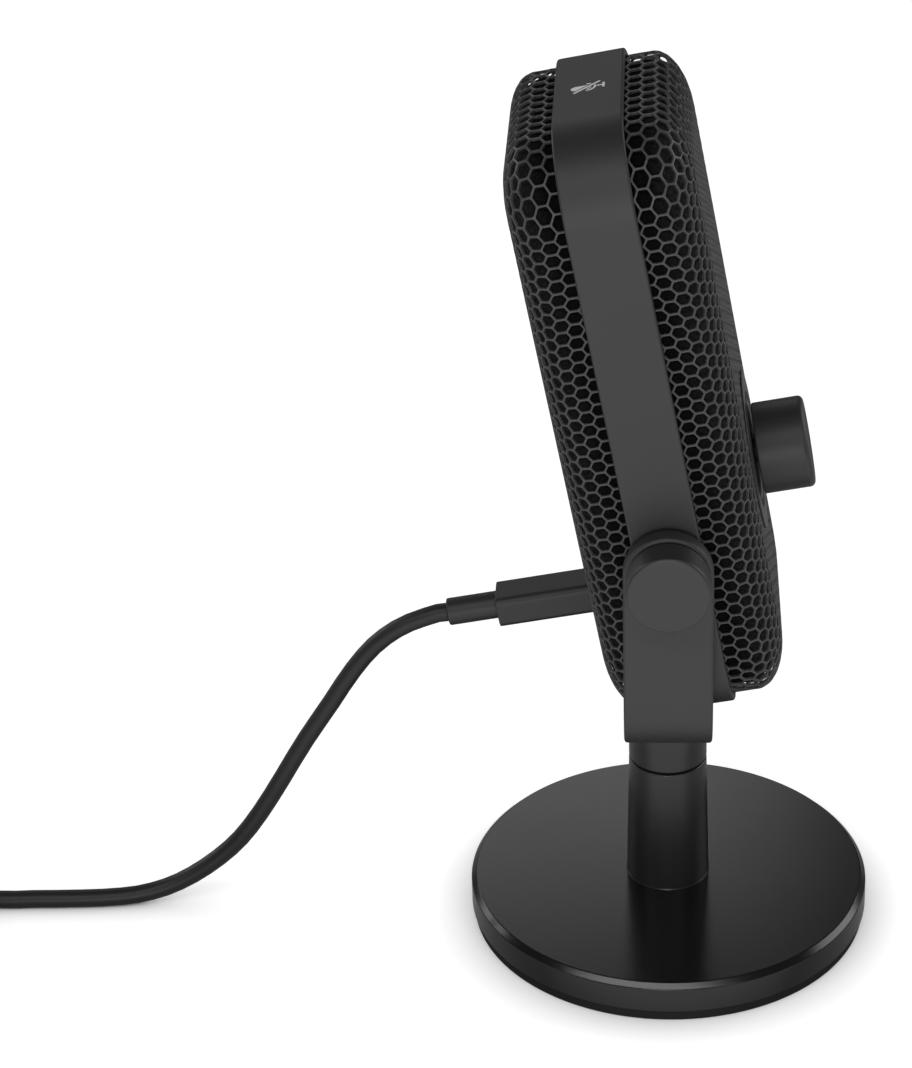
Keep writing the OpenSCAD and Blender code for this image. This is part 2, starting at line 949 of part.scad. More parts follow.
module usb_socket() {
    color([0.75, 0.75, 0.75])
        in_head()
            translate([0, 0, -port_down])
                difference() {
                    bar_y(socket_w, socket_t, 1.6, port_board_y + board_t + fix, port_face - 0.7);
                    bar_y(socket_w - 0.6, socket_t - 0.6, 1.3, port_board_y + board_t + 1.4, port_face + 1);
                }
}

module plug_shell() {
    color([0.75, 0.75, 0.75])
        in_head()
            translate([0, 0, -port_down])
                bar_y(socket_w - 0.9, socket_t - 0.9, 1.2, plug_y - 6.4, plug_y - fix);
}

module plug() {
    color([0.07, 0.07, 0.07])
        in_head()
            translate([0, 0, -port_down])
                bar_y(plug_w, plug_t, 1.8, plug_y, plug_y + plug_h);
}

module plug_relief() {
    color([0.07, 0.07, 0.07])
        in_head()
            translate([0, 0, -port_down])
                rod_y(relief_d, plug_y + plug_h, plug_y + plug_h + relief_h);
}

// ---- Cord ----

// Where the cord leaves the strain relief, and which way it points there
relief_y = plug_y + plug_h + relief_h + cord_gap - head_shift;
cord_start = [
    0,
    relief_y * cos(lean) - port_down * sin(lean),
    pivot_z - relief_y * sin(lean) - port_down * cos(lean)
];
cord_points = concat([cord_start], cord_route);

function unit(v) = v / norm(v);

// Point on a smooth curve through b and c at t, with a and d as its neighbours
function smooth(a, b, c, d, t) =
    0.5 * (2 * b + (c - a) * t + (2 * a - 5 * b + 4 * c - d) * t * t + (3 * b - 3 * c + d - a) * t * t * t);

function curve(p, sub) =
    let (last = len(p) - 1)
    concat(
        [for (i = [0:last - 1], k = [0:sub - 1])
            smooth(p[max(i - 1, 0)], p[i], p[i + 1], p[min(i + 2, last)], k / sub)],
        [p[last]]
    );

// Tube of radius r along the points p, with flat ends
module tube(p, r, sides) {
    n = len(p);
    rings = [for (i = [0:n - 1])
        let (
            t = unit(p[min(i + 1, n - 1)] - p[max(i - 1, 0)]),
            u = unit([1, 0, 0] - t * t[0]),
            v = cross(t, u)
        )
        for (k = [0:sides - 1])
            p[i] + r * (u * cos(360 * k / sides) + v * sin(360 * k / sides))
    ];
    walls = [for (i = [0:n - 2], k = [0:sides - 1])
        let (m = (k + 1) % sides)
        [i * sides + m, i * sides + k, (i + 1) * sides + k, (i + 1) * sides + m]
    ];
    start = [for (k = [0:sides - 1]) k];
    finish = [for (k = [sides - 1:-1:0]) (n - 1) * sides + k];
    polyhedron(rings, concat([start], walls, [finish]));
}

module cord() {
    color([0.06, 0.06, 0.06])
        tube(curve(cord_points, 3), cord_d / 2, 12);
}

module cord_coil() {
    color([0.06, 0.06, 0.06])
        translate([coil_at[0], coil_at[1], coil_lift])
            rotate_extrude()
                translate([coil_d / 2 - coil_w / 2, 0])
                    square([coil_w, coil_t]);
}

module cord_tie() {
    outer = coil_d / 2 + coil_w / 2 + 0.1;
    hole = coil_d / 2 - coil_w / 2;
    inner = sqrt(hole * hole - tie_w * tie_w / 4) - 0.1;
    color([0.03, 0.03, 0.03])
        translate([coil_at[0], coil_at[1], 0])
            difference() {
                translate([-outer - tie_t, -tie_w / 2, 0])
                    cube([outer - inner + 2 * tie_t, tie_w, coil_t + 2 * tie_t + 0.1]);
                translate([-outer, -tie_w, tie_t])
                    cube([outer - inner, 2 * tie_w, coil_t + 0.1]);
            }
}

module cord_tail() {
    color([0.06, 0.06, 0.06])
        translate([0, tail_y, plug_end_z])
            rod_x(cord_d, tail_x, coil_at[0] - 9);
}

module end_relief() {
    color([0.07, 0.07, 0.07])
        translate([0, tail_y, plug_end_z])
            rod_x(relief_d, tail_x - 12, tail_x);
}

module end_plug() {
    color([0.07, 0.07, 0.07])
        translate([tail_x - 12, tail_y, plug_end_z])
            rotate([0, 0, 90])
                bar_y(15.6, 7.8, 2, 0, 26);
}

module end_plug_shell() {
    color([0.75, 0.75, 0.75])
        translate([tail_x - 38, tail_y, plug_end_z])
            difference() {
                translate([-12, -6, -2.25])
                    cube([12, 12, 4.5]);
                translate([-13, -5.7, 0])
                    cube([11, 11.4, 1.95]);
            }
}

base_plate();
foot_pad();
base_bolt();
base_washer();
post();
post_stud();
swivel_washer();
collar();
collar_insert();
collar_screw();
yoke();
arm_washers();
left_knob();
left_bolt();
left_knob_washer();
right_knob();
right_bolt();
right_knob_washer();
band();
chassis();
pivot_bosses();
front_grille();
rear_grille();
front_foam();
rear_foam();
capsule();
capsule_holder();
circuit_board();
board_screws();
touch_sensor();
dial_plate();
plate_screws();
light_ring();
encoder();
encoder_plunger();
dial_shaft();
dial();
dial_cap();
port_plate();
port_board();
board_link();
port_screws();
usb_socket();
plug_shell();
plug();
plug_relief();
cord();
cord_coil();
cord_tie();
cord_tail();
end_relief();
end_plug();
end_plug_shell();
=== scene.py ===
# %% [markdown]
# # Dressing a desktop microphone
#
# The engineering model gives every piece its place. This lesson dresses it: each
# visible piece gets the rounded edges, the honeycomb, the foam and the finish
# that the real one has. A tall flat head leans back in a U-shaped yoke, the yoke
# turns on a short post, and the post stands on a heavy round base. The cable
# leaves at the back and its spare length lies coiled behind.
#
# The first step loads the model and keeps its nodes and joints, so that the
# dressed pieces can be measured from them.

# %% Load the model
import json
import math

import bmesh
import bpy
import numpy as np
from mathutils import Matrix, Vector
from mathutils.geometry import delaunay_2d_cdt


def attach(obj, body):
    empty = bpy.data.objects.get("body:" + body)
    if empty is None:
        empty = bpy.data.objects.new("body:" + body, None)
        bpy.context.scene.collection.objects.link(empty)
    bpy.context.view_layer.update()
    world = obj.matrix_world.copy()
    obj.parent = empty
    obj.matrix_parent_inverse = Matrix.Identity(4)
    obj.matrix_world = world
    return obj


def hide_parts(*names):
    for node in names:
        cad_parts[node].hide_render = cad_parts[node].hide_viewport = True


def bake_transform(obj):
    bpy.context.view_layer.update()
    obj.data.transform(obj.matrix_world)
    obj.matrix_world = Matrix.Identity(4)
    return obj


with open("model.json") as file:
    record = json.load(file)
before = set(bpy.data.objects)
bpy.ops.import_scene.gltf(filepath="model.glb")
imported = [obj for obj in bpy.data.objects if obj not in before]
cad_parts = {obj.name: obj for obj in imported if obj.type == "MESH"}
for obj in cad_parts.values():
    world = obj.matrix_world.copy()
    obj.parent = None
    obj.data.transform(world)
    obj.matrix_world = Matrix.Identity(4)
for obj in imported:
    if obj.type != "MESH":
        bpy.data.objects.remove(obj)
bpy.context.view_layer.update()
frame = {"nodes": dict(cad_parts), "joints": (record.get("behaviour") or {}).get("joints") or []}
MM = 0.001

# %% [markdown]
# ## Where the head is
#
# The head leans back on its pivots, so its pieces are easiest to describe along
# its own axes: across, through (the dial looks the other way) and up. The joints
# of the model state the pivot and the way that the dial looks, and the band gives
# the head's middle plane. `reach` measures any node along any piece's axes.

# %% Axes of the head
joints = {j["name"]: j for j in frame["joints"]}
pivot = Vector(joints["head_tilt"]["pos_m"])
through = -Vector(joints["dial_turn"]["axis"]).normalized()
upward = Vector((1, 0, 0)).cross(through)
turned = Matrix((Vector((1, 0, 0)), through, upward)).transposed().to_4x4()


def reach(node, place):
    """Lowest and highest corner of a node, in millimetres along the axes of place."""
    back = place.inverted()
    points = np.array([back @ v.co for v in frame["nodes"][node].data.vertices])
    return points.min(0) / MM, points.max(0) / MM


UPRIGHT = Matrix.Identity(4)
HEAD = Matrix.Translation(pivot) @ turned
low, high = reach("band", HEAD)
HEAD = HEAD @ Matrix.Translation((0, (low[1] + high[1]) / 2 * MM, 0))
print("pivot height", round(pivot.z / MM, 2), "head from", low.round(1), "to", high.round(1))

# %% [markdown]
# ## The camera
#
# A long lens from well away shows the microphone from its left side and a little
# from above, which keeps the two sides of the head nearly parallel. The camera is
# only turned, never shifted, so that it can be moved round the object later.

# %% Set up the camera
YAW, PITCH, ROLL = (math.radians(a) for a in (4.2533, 28.8404, -2.1204))
LENS = 105.40
EYE = (-0.657858, 0.001979, 0.470809)


def added(name, data):
    """A new object in the scene."""
    piece = bpy.data.objects.new(name, data)
    bpy.context.scene.collection.objects.link(piece)
    return piece


across = math.cos(PITCH)
forward = Vector((math.cos(YAW) * across, math.sin(YAW) * across, -math.sin(PITCH)))
level = forward.cross(Vector((0, 0, 1))).normalized()
above = level.cross(forward)
right = level * math.cos(ROLL) + above * math.sin(ROLL)
up = above * math.cos(ROLL) - level * math.sin(ROLL)

camera = added("camera", bpy.data.cameras.new("camera"))
camera.data.lens = LENS
camera.data.clip_start, camera.data.clip_end = 0.05, 20
axes = Matrix((right, up, -forward)).transposed().to_4x4()
camera.matrix_world = Matrix.Translation(EYE) @ axes
bpy.context.scene.camera = camera
print("camera looks along", [round(v, 3) for v in forward])

# %% [markdown]
# ## Finishes as expressions
#
# A finish is a small network of shader nodes. Writing it node by node hides the
# idea, so one class wraps a socket and lets Python's operators add Math nodes:
# `base + 0.1 * noise` reads like the sum that it is. Colours and vectors pass
# through Mix and Vector Math, because a Math node would turn them grey.


# %% Node helpers
class Wire:
    """A node's socket that can stand in a sum or product."""

    def __init__(self, net, socket):
        self.net, self.socket = net, socket

    def by(self, operation, *values):
        return self.net.node("ShaderNodeMath", {"operation": operation}, *values)

    def above(self, other):
        return self.by("GREATER_THAN", self, other)

    def below(self, other):
        return self.by("LESS_THAN", self, other)


SIGNS = {"add": "ADD", "sub": "SUBTRACT", "mul": "MULTIPLY", "truediv": "DIVIDE", "pow": "POWER"}
for sign, kind in SIGNS.items():
    setattr(Wire, f"__{sign}__", lambda self, other, kind=kind: self.by(kind, self, other))
    setattr(Wire, f"__r{sign}__", lambda self, other, kind=kind: self.by(kind, other, self))


class Net:
    """A node tree, with one method that adds any node."""

    def __init__(self, tree):
        self.tree = tree

    def feed(self, socket, value):
        if isinstance(value, Wire):
            self.tree.links.new(value.socket, socket)
        else:
            socket.default_value = value

    def node(self, kind, settings, *values, out=0, **named):
        made = self.tree.nodes.new(kind)
        for key, value in settings.items():
            setattr(made, key, value)
        for socket, value in zip(made.inputs, values):
            self.feed(socket, value)
        for name, value in named.items():
            self.feed(made.inputs[name.replace("_", " ")], value)
        return Wire(self, made.outputs[out])

    def vector(self, operation, *values, **named):
        return self.node("ShaderNodeVectorMath", {"operation": operation}, *values, **named)

    def joined(self, *parts):
        """Join Geometry, whose one socket takes several links."""
        made = self.tree.nodes.new("GeometryNodeJoinGeometry")
        for part in parts:
            self.feed(made.inputs[0], part)
        return Wire(self, made.outputs[0])


class Finish(Net):
    """A material with a Principled shader."""

    def __init__(self, name, colour, roughness, **sockets):
        self.material = bpy.data.materials.new(name)
        self.material.use_nodes = True
        super().__init__(self.material.node_tree)
        self.shader = self.tree.nodes["Principled BSDF"]
        self.set("Base Color", (*colour, 1))
        self.set("Roughness", roughness)
        for socket, value in sockets.items():
            self.set(socket.replace("_", " "), value)

    def set(self, socket, value):
        self.feed(self.shader.inputs[socket], value)

    def place(self):
        """The point on the piece, in metres."""
        return self.node("ShaderNodeTexCoord", {}, out="Object")

    def texture(self, kind, out, **sockets):
        return self.node("ShaderNodeTex" + kind, {}, out=out, Vector=self.place(), **sockets)

    def noise(self, scale, detail=2.0):
        return self.texture("Noise", "Fac", Scale=scale, Detail=detail)

    def cells(self, scale):
        return self.texture("Voronoi", "Distance", Scale=scale)

    def mix(self, share, one, other):
        """A mix of two colours, whose sockets come after those of other kinds."""
        made = self.node("ShaderNodeMix", {"data_type": "RGBA"}, share).socket.node
        self.feed(made.inputs[6], one)
        self.feed(made.inputs[7], other)
        return Wire(self, made.outputs[2])

    def bump(self, height, strength, distance):
        bump = self.node("ShaderNodeBump", {}, Strength=strength, Distance=distance, Height=height)
        self.set("Normal", bump)


print("shader helpers ready")

# %% [markdown]
# ## Mesh helpers
#
# Nearly every hard piece here is turned on a lathe, or is a stack of rounded
# rings. Real edges are never knife sharp: a small fillet is what catches the
# light and tells the eye that a part is metal or moulded. So each outline is
# rounded at its corners first, and then turned or stacked.
#
# Smooth shading needs one more thing. A vertex normal is the mean of the faces
# round it, and on a flat disc beside a tiny fillet that mean would lean. Weighing
# each face by its area keeps flat faces flat.


# %% Rounded outlines and finished meshes
CUTTER_SIDES = 96
CLEAR = 0.05  # millimetres between a piece and a smaller one inside it


def rounded(points, radii, steps=5):
    """An open outline with an arc of the given radius in each inner corner."""
    line = [Vector(points[0])]
    for before, corner, after, radius in zip(points, points[1:], points[2:], radii):
        corner = Vector(corner)
        one, two = (Vector(before) - corner).normalized(), (Vector(after) - corner).normalized()
        if radius == 0:
            line.append(corner)
            continue
        half = one.angle(two) / 2
        middle = corner + (one + two).normalized() * radius / math.sin(half)
        start = corner + one * radius / math.tan(half) - middle
        end = corner + two * radius / math.tan(half) - middle
        sweep = start.angle(end)
        for i in range(steps + 1):
            share = i / steps
            spoke = start * math.sin((1 - share) * sweep) + end * math.sin(share * sweep)
            line.append(middle + spoke / math.sin(sweep))
    return line + [Vector(points[-1])]


def applied(piece):
    """Makes a piece's modifiers part of its mesh."""
    bpy.context.view_layer.update()
    result = piece.evaluated_get(bpy.context.evaluated_depsgraph_get())
    mesh = bpy.data.meshes.new_from_object(result)
    mesh.name = piece.name
    piece.modifiers.clear()
    piece.data = mesh
    return piece


def shaded(piece, sharp=38):
    """Shades a piece smooth, with sharp edges and area-weighted normals."""
    applied(piece)
    piece.data.polygons.foreach_set("use_smooth", [True] * len(piece.data.polygons))
    piece.data.set_sharp_from_angle(angle=math.radians(sharp))
    piece.modifiers.new("weigh", "WEIGHTED_NORMAL").keep_sharp = True
    return applied(piece)


def solid_from(name, work, cutters=()):
    """A finished object from a bmesh, less its cutters."""
    bmesh.ops.recalc_face_normals(work, faces=work.faces)
    mesh = bpy.data.meshes.new(name)
    work.to_mesh(mesh)
    work.free()
    piece = added(name, mesh)
    for cutter in cutters:
        knife = piece.modifiers.new("cut", "BOOLEAN")
        knife.operation, knife.solver, knife.object = "DIFFERENCE", "EXACT", cutter
    shaded(piece)
    for cutter in cutters:
        bpy.data.objects.remove(cutter)
    return piece


def bridge(work, rings, closed=False, wrap=True):
    """Joins each row of points to the next with faces. A single point makes a fan."""
    for one, two in zip(rings, [*rings[1:], rings[0]] if closed else rings[1:]):
        count = max(len(one), len(two))
        for i in range(count if wrap else count - 1):
            j = (i + 1) % count
            corners = one[i % len(one)], one[j % len(one)], two[j % len(two)], two[i % len(two)]
            face = list(dict.fromkeys(corners))
            if len(face) > 2:
                work.faces.new(face)


def lathe(name, outline, place, sides, closed=False):
    """Turns (radius, height) points in millimetres about the Z axis of place."""
    work = bmesh.new()
    turns = [Matrix.Rotation(math.tau * i / sides, 3, "Z") for i in range(sides)]
    rings = []
    for radius, height in outline:
        spoke = Vector((radius, 0, height))
        around = turns if radius > 1e-6 else turns[:1]
        rings.append([work.verts.new(place @ (turn @ spoke * MM)) for turn in around])
    bridge(work, rings, closed)
    return solid_from(name, work)


def rounded_box(low, high, radius, steps):
    """A round-cornered box in X and Z, as (core, direction, radius) for each point."""
    outline = []
    for quarter, (sx, sz) in enumerate([(1, 1), (-1, 1), (-1, -1), (1, -1)]):
        x, z = high[0] if sx > 0 else low[0], high[2] if sz > 0 else low[2]
        core = Vector((x - sx * radius, z - sz * radius))
        for i in range(steps + 1):
            a = math.radians(90) * (quarter + i / steps)
            outline.append((core, Vector((math.cos(a), math.sin(a))), radius))
    return outline


def stacked(name, outline, layers, place, closed=False, cutters=()):
    """Stacks rings along Y. Each layer is (how far inside the outline, height), in millimetres."""
    work = bmesh.new()
    rings = []
    for inset, height in layers:
        ring = []
        for core, way, radius in outline:
            x, z = core + way * max(radius - inset, 0)
            ring.append(work.verts.new(place @ (Vector((x, height, z)) * MM)))
        rings.append(ring)
    bridge(work, rings, closed)
    if not closed:
        work.faces.new(rings[0])
        work.faces.new(rings[-1])
    bmesh.ops.remove_doubles(work, verts=work.verts, dist=1e-7)
    return solid_from(name, work, cutters)


def box(start, side, low, high):
    """Two corners out and two back: a rectangle's outline, open at start."""
    return [(start, low), (side, low), (side, high), (start, high)]


def aim(point, direction):
    """A place whose Z axis looks along direction."""
    turn = Vector(direction).to_track_quat("Z", "Y")
    return Matrix.Translation(point) @ turn.to_matrix().to_4x4()


def bar(radius, start, end, place):
    """A plain round bar to cut a hole with."""
    return lathe("cutter", box(0, radius, start, end), place, CUTTER_SIDES)


def dressed(piece, finish, body, slot, *nodes):
    """Gives a finished piece its material and its body, and hides the nodes that it stands for. The
    slot is not used.
    """
    piece.data.materials.clear()
    piece.data.materials.append(finish)
    if body:
        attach(piece, body)
    if nodes:
        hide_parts(*nodes)
    print(piece.name, "has", len(piece.data.polygons), "faces and rides on", body or "two bodies")
    return piece


def turn_and_dress(name, points, radii, place, sides, *look, closed=True):
    """A dressed lathe piece. A closed outline may end where it starts."""
    outline = rounded(points, radii)
    if closed and points[0] == points[-1]:
        outline.pop()
    return dressed(lathe(name, outline, place, sides, closed), *look)


# %% [markdown]
# ## The cable
#
# The cable is smooth black PVC, 4.6 mm thick and about 1.8 m long, and it bends
# easily. It leaves the plug straight, bows down under its own weight, and runs
# back along the table. The spare length is wound into a neat coil, three layers
# high, and the turns lie a diameter apart. Each turn moves to the next place in
# the coil over about 50 degrees, and each move starts 30 degrees before the last
# one did, so that no turn passes through another.

# %% Route of the cable
route = [
    (0, 59, 84.7), (0, 65, 81.8), (0, 72, 76.3), (0, 78, 68.7), (0, 83.5, 59.9),
    (0, 91.3, 47.55), (0, 99.4, 33.3), (0, 105.8, 23.1), (0, 111.5, 16.1),
    (-0.4, 119, 9.8), (-1.1, 127, 5.2), (-2.1, 135, 2.9), (-3.1, 143, 2.35),
    (-3.8, 153, 2.3), (-4.1, 164, 2.3), (-4.3, 176, 2.3), (-4.3, 190, 2.3),
]
CORD = 4.6
CORD_GAP = 0.25
STRAIGHT = 3.2  # length that the relief holds straight
FREE_POINTS = 40
low, high = reach("plug_relief", HEAD)
middle = (low + high) / 2
cord_exit = HEAD @ (Vector((middle[0], high[1] + CORD_GAP, middle[2])) * MM)
cord_way = HEAD.to_3x3() @ Vector((0, 1, 0))

low, high = reach("cord_coil", UPRIGHT)
coil_middle = Vector((*(low + high)[:2] / 2, 0))
outer_turn = (high[0] - low[0]) / 2 - CORD / 2
low_turn = low[2] + CORD / 2
low, high = reach("end_relief", UPRIGHT)
tail = Vector((high[0], *(low + high)[1:] / 2))


def eased(x, start, end):
    """Rises smoothly from 0 at start to 1 at end."""
    share = min(max((x - start) / (end - start), 0), 1)
    return share * share * (3 - 2 * share)


def coil_point(angle, column, layer):
    """A point in the coil. Columns count outwards and layers upwards, from 1."""
    a = math.radians(angle)
    radius = outer_turn - CORD * (COIL_WIDE - column)
    height = low_turn + CORD * (layer - 1)
    return coil_middle + Vector((radius * math.cos(a), radius * math.sin(a), height))


# Places in the coil, as (column, layer). Angles are in degrees, counted on from turn to turn.
places = [(3, 1), (2, 1), (1, 1), (1, 2), (1, 3), (2, 3), (2, 2), (3, 2), (3, 3), (4, 3), (4, 2)]
COIL_WIDE = 4
COIL_FROM, COIL_TO = 20, 3680
BETWEEN_MOVES, MOVE_FROM, MOVE_TO = 330, -15, 35
RISE_FROM, RISE_TO = 3595, 3645
coil = []
for angle in range(COIL_FROM, COIL_TO + 10, 10):
    column, layer = places[0]
    for k, (before, after) in enumerate(zip(places, places[1:]), 1):
        move = eased(angle, BETWEEN_MOVES * k + MOVE_FROM, BETWEEN_MOVES * k + MOVE_TO)
        column += (after[0] - before[0]) * move
        layer += (after[1] - before[1]) * move
    point = coil_point(angle, column, layer)
    point.z += (tail.z - low_turn - CORD) * eased(angle, RISE_FROM, RISE_TO)
    coil.append(point)
end = [tail + Vector((x, 0, 0)) for x in (18, 12, 6, 0)]
print("coil has", len(coil), "points; the cable leaves along", [round(v, 3) for v in cord_way])


# %% [markdown]
# The free stretch passes through its route's points as one smooth curve, and is
# then divided again into steps that are shorter where it bends. A tube follows the
# whole line: each ring is turned from the one before it by the least angle, so
# that the tube never twists.


# %% Tube along the route
def through_points(points, count):
    """A smooth curve through the points, as so many points that lie closer where it bends."""
    pieces, spread, evenness = 24, 31, 0.1
    points = [2 * points[0] - points[1], *points, 2 * points[-1] - points[-2]]
    fine = []
    for a, b, c, d in zip(points, points[1:], points[2:], points[3:]):
        square, cube = 2 * a - 5 * b + 4 * c - d, 3 * b - a - 3 * c + d
        for t in (i / pieces for i in range(pieces)):
            fine.append(0.5 * (2 * b + (c - a) * t + square * t * t + cube * t**3))
    fine = np.array([list(p) for p in fine] + [list(points[-2])])
    steps = np.linalg.norm(np.diff(fine, axis=0), axis=1)
    ways = np.diff(fine, axis=0) / steps[:, None]
    turns = np.append(0, np.linalg.norm(np.diff(ways, axis=0), axis=1))
    turns = np.convolve(turns, np.ones(spread) / spread, "same")
    along = np.append(0, np.cumsum(steps * evenness + np.sqrt(turns * steps)))
    even = np.linspace(0, along[-1], count)
    return [Vector([np.interp(s, along, fine[:, k]) for k in range(3)]) for s in even]


def tube(name, line, radius, sides=20):
    """A closed round tube along a line in millimetres."""
    work = bmesh.new()
    rings, side = [], Vector((1, 0, 0))
    for i, point in enumerate(line):
        ahead = (line[min(i + 1, len(line) - 1)] - line[max(i - 1, 0)]).normalized()
        side = (side - ahead * side.dot(ahead)).normalized()
        other = ahead.cross(side)
        turns = [math.tau * k / sides for k in range(sides)]
        spokes = [radius * (side * math.cos(a) + other * math.sin(a)) for a in turns]
        rings.append([work.verts.new((point + spoke) * MM) for spoke in spokes])
    bridge(work, rings)
    work.faces.new(rings[0])
    work.faces.new(rings[-1])
    return solid_from(name, work)


start = cord_exit / MM
stops = [start, start + cord_way * STRAIGHT, *(Vector(p) for p in route[1:-1]), coil[0]]
free = through_points(stops, FREE_POINTS)
line = free[:-1] + coil + end

jacket = Finish("cable_jacket", (0.014, 0.014, 0.0145), 0.5, Specular_IOR_Level=0.4)
grain = jacket.noise(900, detail=3)
jacket.set("Roughness", grain * 0.1 + 0.42)
jacket.bump(grain, 0.06, 0.00008)
cable = tube("cable", line, CORD / 2)
dressed(cable, jacket.material, None, "cord_jacket", "cord", "cord_coil", "cord_tail")
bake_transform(cable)

# %% [markdown]
# ## The finishes of the metal parts
#
# The metal wears a fine satin paint: nearly black, with a broad soft gloss. A
# sprayed coat is never perfectly even, so a fine grain moves the roughness and a
# very shallow bump breaks up the reflections, and a slow cloud of noise shifts
# the roughness over a few centimetres. Moulded plastic is much the same with a
# coarser grain.


# %% Satin paint and moulded plastic
GRAIN_DEPTH = 0.00006  # metres
CLOUD_SCALE = 28
SPECKLE = 0.12


def satin(name, colour, roughness, gloss=0.5, grain=0.04, bump=0.05, size=2600, metal=0.0):
    """A finish whose roughness varies with a fine grain and with slow clouds."""
    cloud = 0.04
    finish = Finish(name, colour, roughness, Specular_IOR_Level=gloss, Metallic=metal)
    fine = finish.noise(size, detail=3)
    slow = finish.noise(CLOUD_SCALE)
    finish.set("Roughness", fine * grain + slow * cloud + (roughness - grain / 2 - cloud / 2))
    darker, lighter = ([c * share for c in colour] + [1] for share in (1 - SPECKLE, 1 + SPECKLE))
    finish.set("Base Color", finish.mix(fine, darker, lighter))
    finish.bump(fine, bump, GRAIN_DEPTH)
    return finish.material


base_paint = satin("base_satin_black", (0.008, 0.008, 0.0082), 0.2, 0.36)
post_paint = satin("post_satin_black", (0.016, 0.016, 0.0161), 0.31, bump=0.03)
strap_paint = satin("strap_charcoal", (0.018, 0.017, 0.0175), 0.56, 0.66)
knob_finish = satin("knob_charcoal", (0.0155, 0.0147, 0.0151), 0.48, 0.64)
dial_plastic = satin("dial_charcoal", (0.024, 0.0232, 0.0236), 0.5)
plate_plastic = satin("plate_black", (0.022, 0.022, 0.0223), 0.42, 0.4)
plug_plastic = satin("plug_black", (0.016, 0.016, 0.0162), 0.5, size=1500, bump=0.12)
rubber = satin("foot_rubber", (0.008, 0.008, 0.008), 0.75, 0.25, grain=0.1, bump=0.25)
dark_washer = satin("washer_black", (0.008, 0.008, 0.008), 0.6)
steel = satin("zinc_steel", (0.55, 0.55, 0.54), 0.32, metal=1.0)
brass = satin("turned_brass", (0.7, 0.5, 0.22), 0.35, metal=1.0)
board = satin("board_lacquer", (0.01, 0.06, 0.028), 0.45, size=700)
inner_plastic = satin("inner_plastic", (0.03, 0.03, 0.03), 0.55)
light_plastic = satin("light_ring_smoked", (0.03, 0.03, 0.032), 0.55, 0.06)
tie_cloth = satin("tie_cloth", (0.012, 0.012, 0.012), 0.85, size=1100, grain=0.2, bump=0.5)
print("finishes ready:", len(bpy.data.materials))

# %% [markdown]
# ## The base and its foot pad
#
# The base is a disc of turned steel with a broad bevel round its top edge, which
# shows as a bright rim. It is a lathe job: one outline, a bevel with a small
# rounding at each end of it, turned about the middle. The rubber pad underneath
# stands in a little, so that a dark line parts the base from the table.

# %% Base plate and pad
low, high = reach("base_plate", UPRIGHT)
rim, foot, top = high[0], low[2], high[2]
BOLT_HOLE = 4.3
BEVEL, LOW_BEVEL = 1.3, 0.4
SPANNER = 1.4  # room for one round the washer
low, high = reach("base_washer", UPRIGHT)
recess_r, recess = high[0] + SPANNER, high[2] + CLEAR
corners = [
    (recess_r, foot), (rim - LOW_BEVEL, foot), (rim, foot + LOW_BEVEL), (rim, top - BEVEL),
    (rim - BEVEL, top), (BOLT_HOLE, top), (BOLT_HOLE, recess), (recess_r, recess),
]
look = base_paint, "stand", "base_paint", "base_plate"
turn_and_dress("base_turned", corners, [0.15, 0.15, 0.5, 0.45, 0, 0], UPRIGHT, 256, *look)

low, high = reach("foot_pad", UPRIGHT)
corners = box(recess_r, high[0], 0, high[2])
look = rubber, "stand", "pad_rubber", "foot_pad"
turn_and_dress("foot_moulded", corners, [0.5, 0.2], UPRIGHT, 192, *look)

# %% [markdown]
# ## The post, the seam and the collar
#
# The post tapers a little from its foot, which flares by a hair where it meets the
# base. The collar turns on a stud above it, so the two are parted by a seam half a
# millimetre high, with a thin dark washer deep inside. Both pieces have their
# edges broken by a small fillet at the seam.

# %% Post and collar
low, high = reach("post", UPRIGHT)
low_c, high_c = reach("collar", UPRIGHT)
seam_r = high_c[0]
POST_BORE, SCREW_HOLE = 4.9, 2.5
FLARE, FLARE_FOOT, FLARE_TOP = 0.15, 0.05, 0.25
corners = [
    (POST_BORE, low[2]), (high[0] + FLARE, low[2]), (high[0] + FLARE, low[2] + FLARE_FOOT),
    (high[0], low[2] + FLARE_TOP), (seam_r, high[2]), (POST_BORE, high[2]),
]
look = post_paint, "stand", "post_paint", "post"
turn_and_dress("post_turned", corners, [0, 0, 0.2, 0.35], UPRIGHT, 160, *look)
_, high = reach("collar_insert", UPRIGHT)
insert_r, insert_top = high[0] + CLEAR, high[2] + 2 * CLEAR
corners = [
    (insert_r, low_c[2]), (seam_r, low_c[2]), (seam_r, high_c[2]),
    (SCREW_HOLE, high_c[2]), (SCREW_HOLE, insert_top), (insert_r, insert_top),
]
look = post_paint, "yoke", "post_paint", "collar"
turn_and_dress("collar_turned", corners, [0.35, 0.3, 0, 0], UPRIGHT, 160, *look)

# %% [markdown]
# ## The yoke
#
# The yoke is one flat steel strap with round ends, bent twice into a U. So it is
# made like that: a section with rounded edges follows the U from one pivot round
# to the other, and the same section is turned about each pivot to close the
# round ends. The bar under the head is a little thinner than the arms, and a
# countersunk hole in it takes the screw into the collar.

# %% Yoke
low, high = reach("yoke", UPRIGHT)
_, screw_top = reach("collar_screw", UPRIGHT)
arm_out, arm_half = high[0], high[1]
SUNK = 0.2  # how far the screw's head lies under the bar's top
bar_low, bar_high = low[2], screw_top[2] + SUNK
pivot_z = pivot.z / MM
arm_in = reach("arm_washers", UPRIGHT)[1][0] + CLEAR
BEND = 18
bend_in = BEND - (arm_out - arm_in)
EDGE = 0.8


def quarter_turn(steps):
    return [math.radians(90 * i / steps) for i in range(steps + 1)]


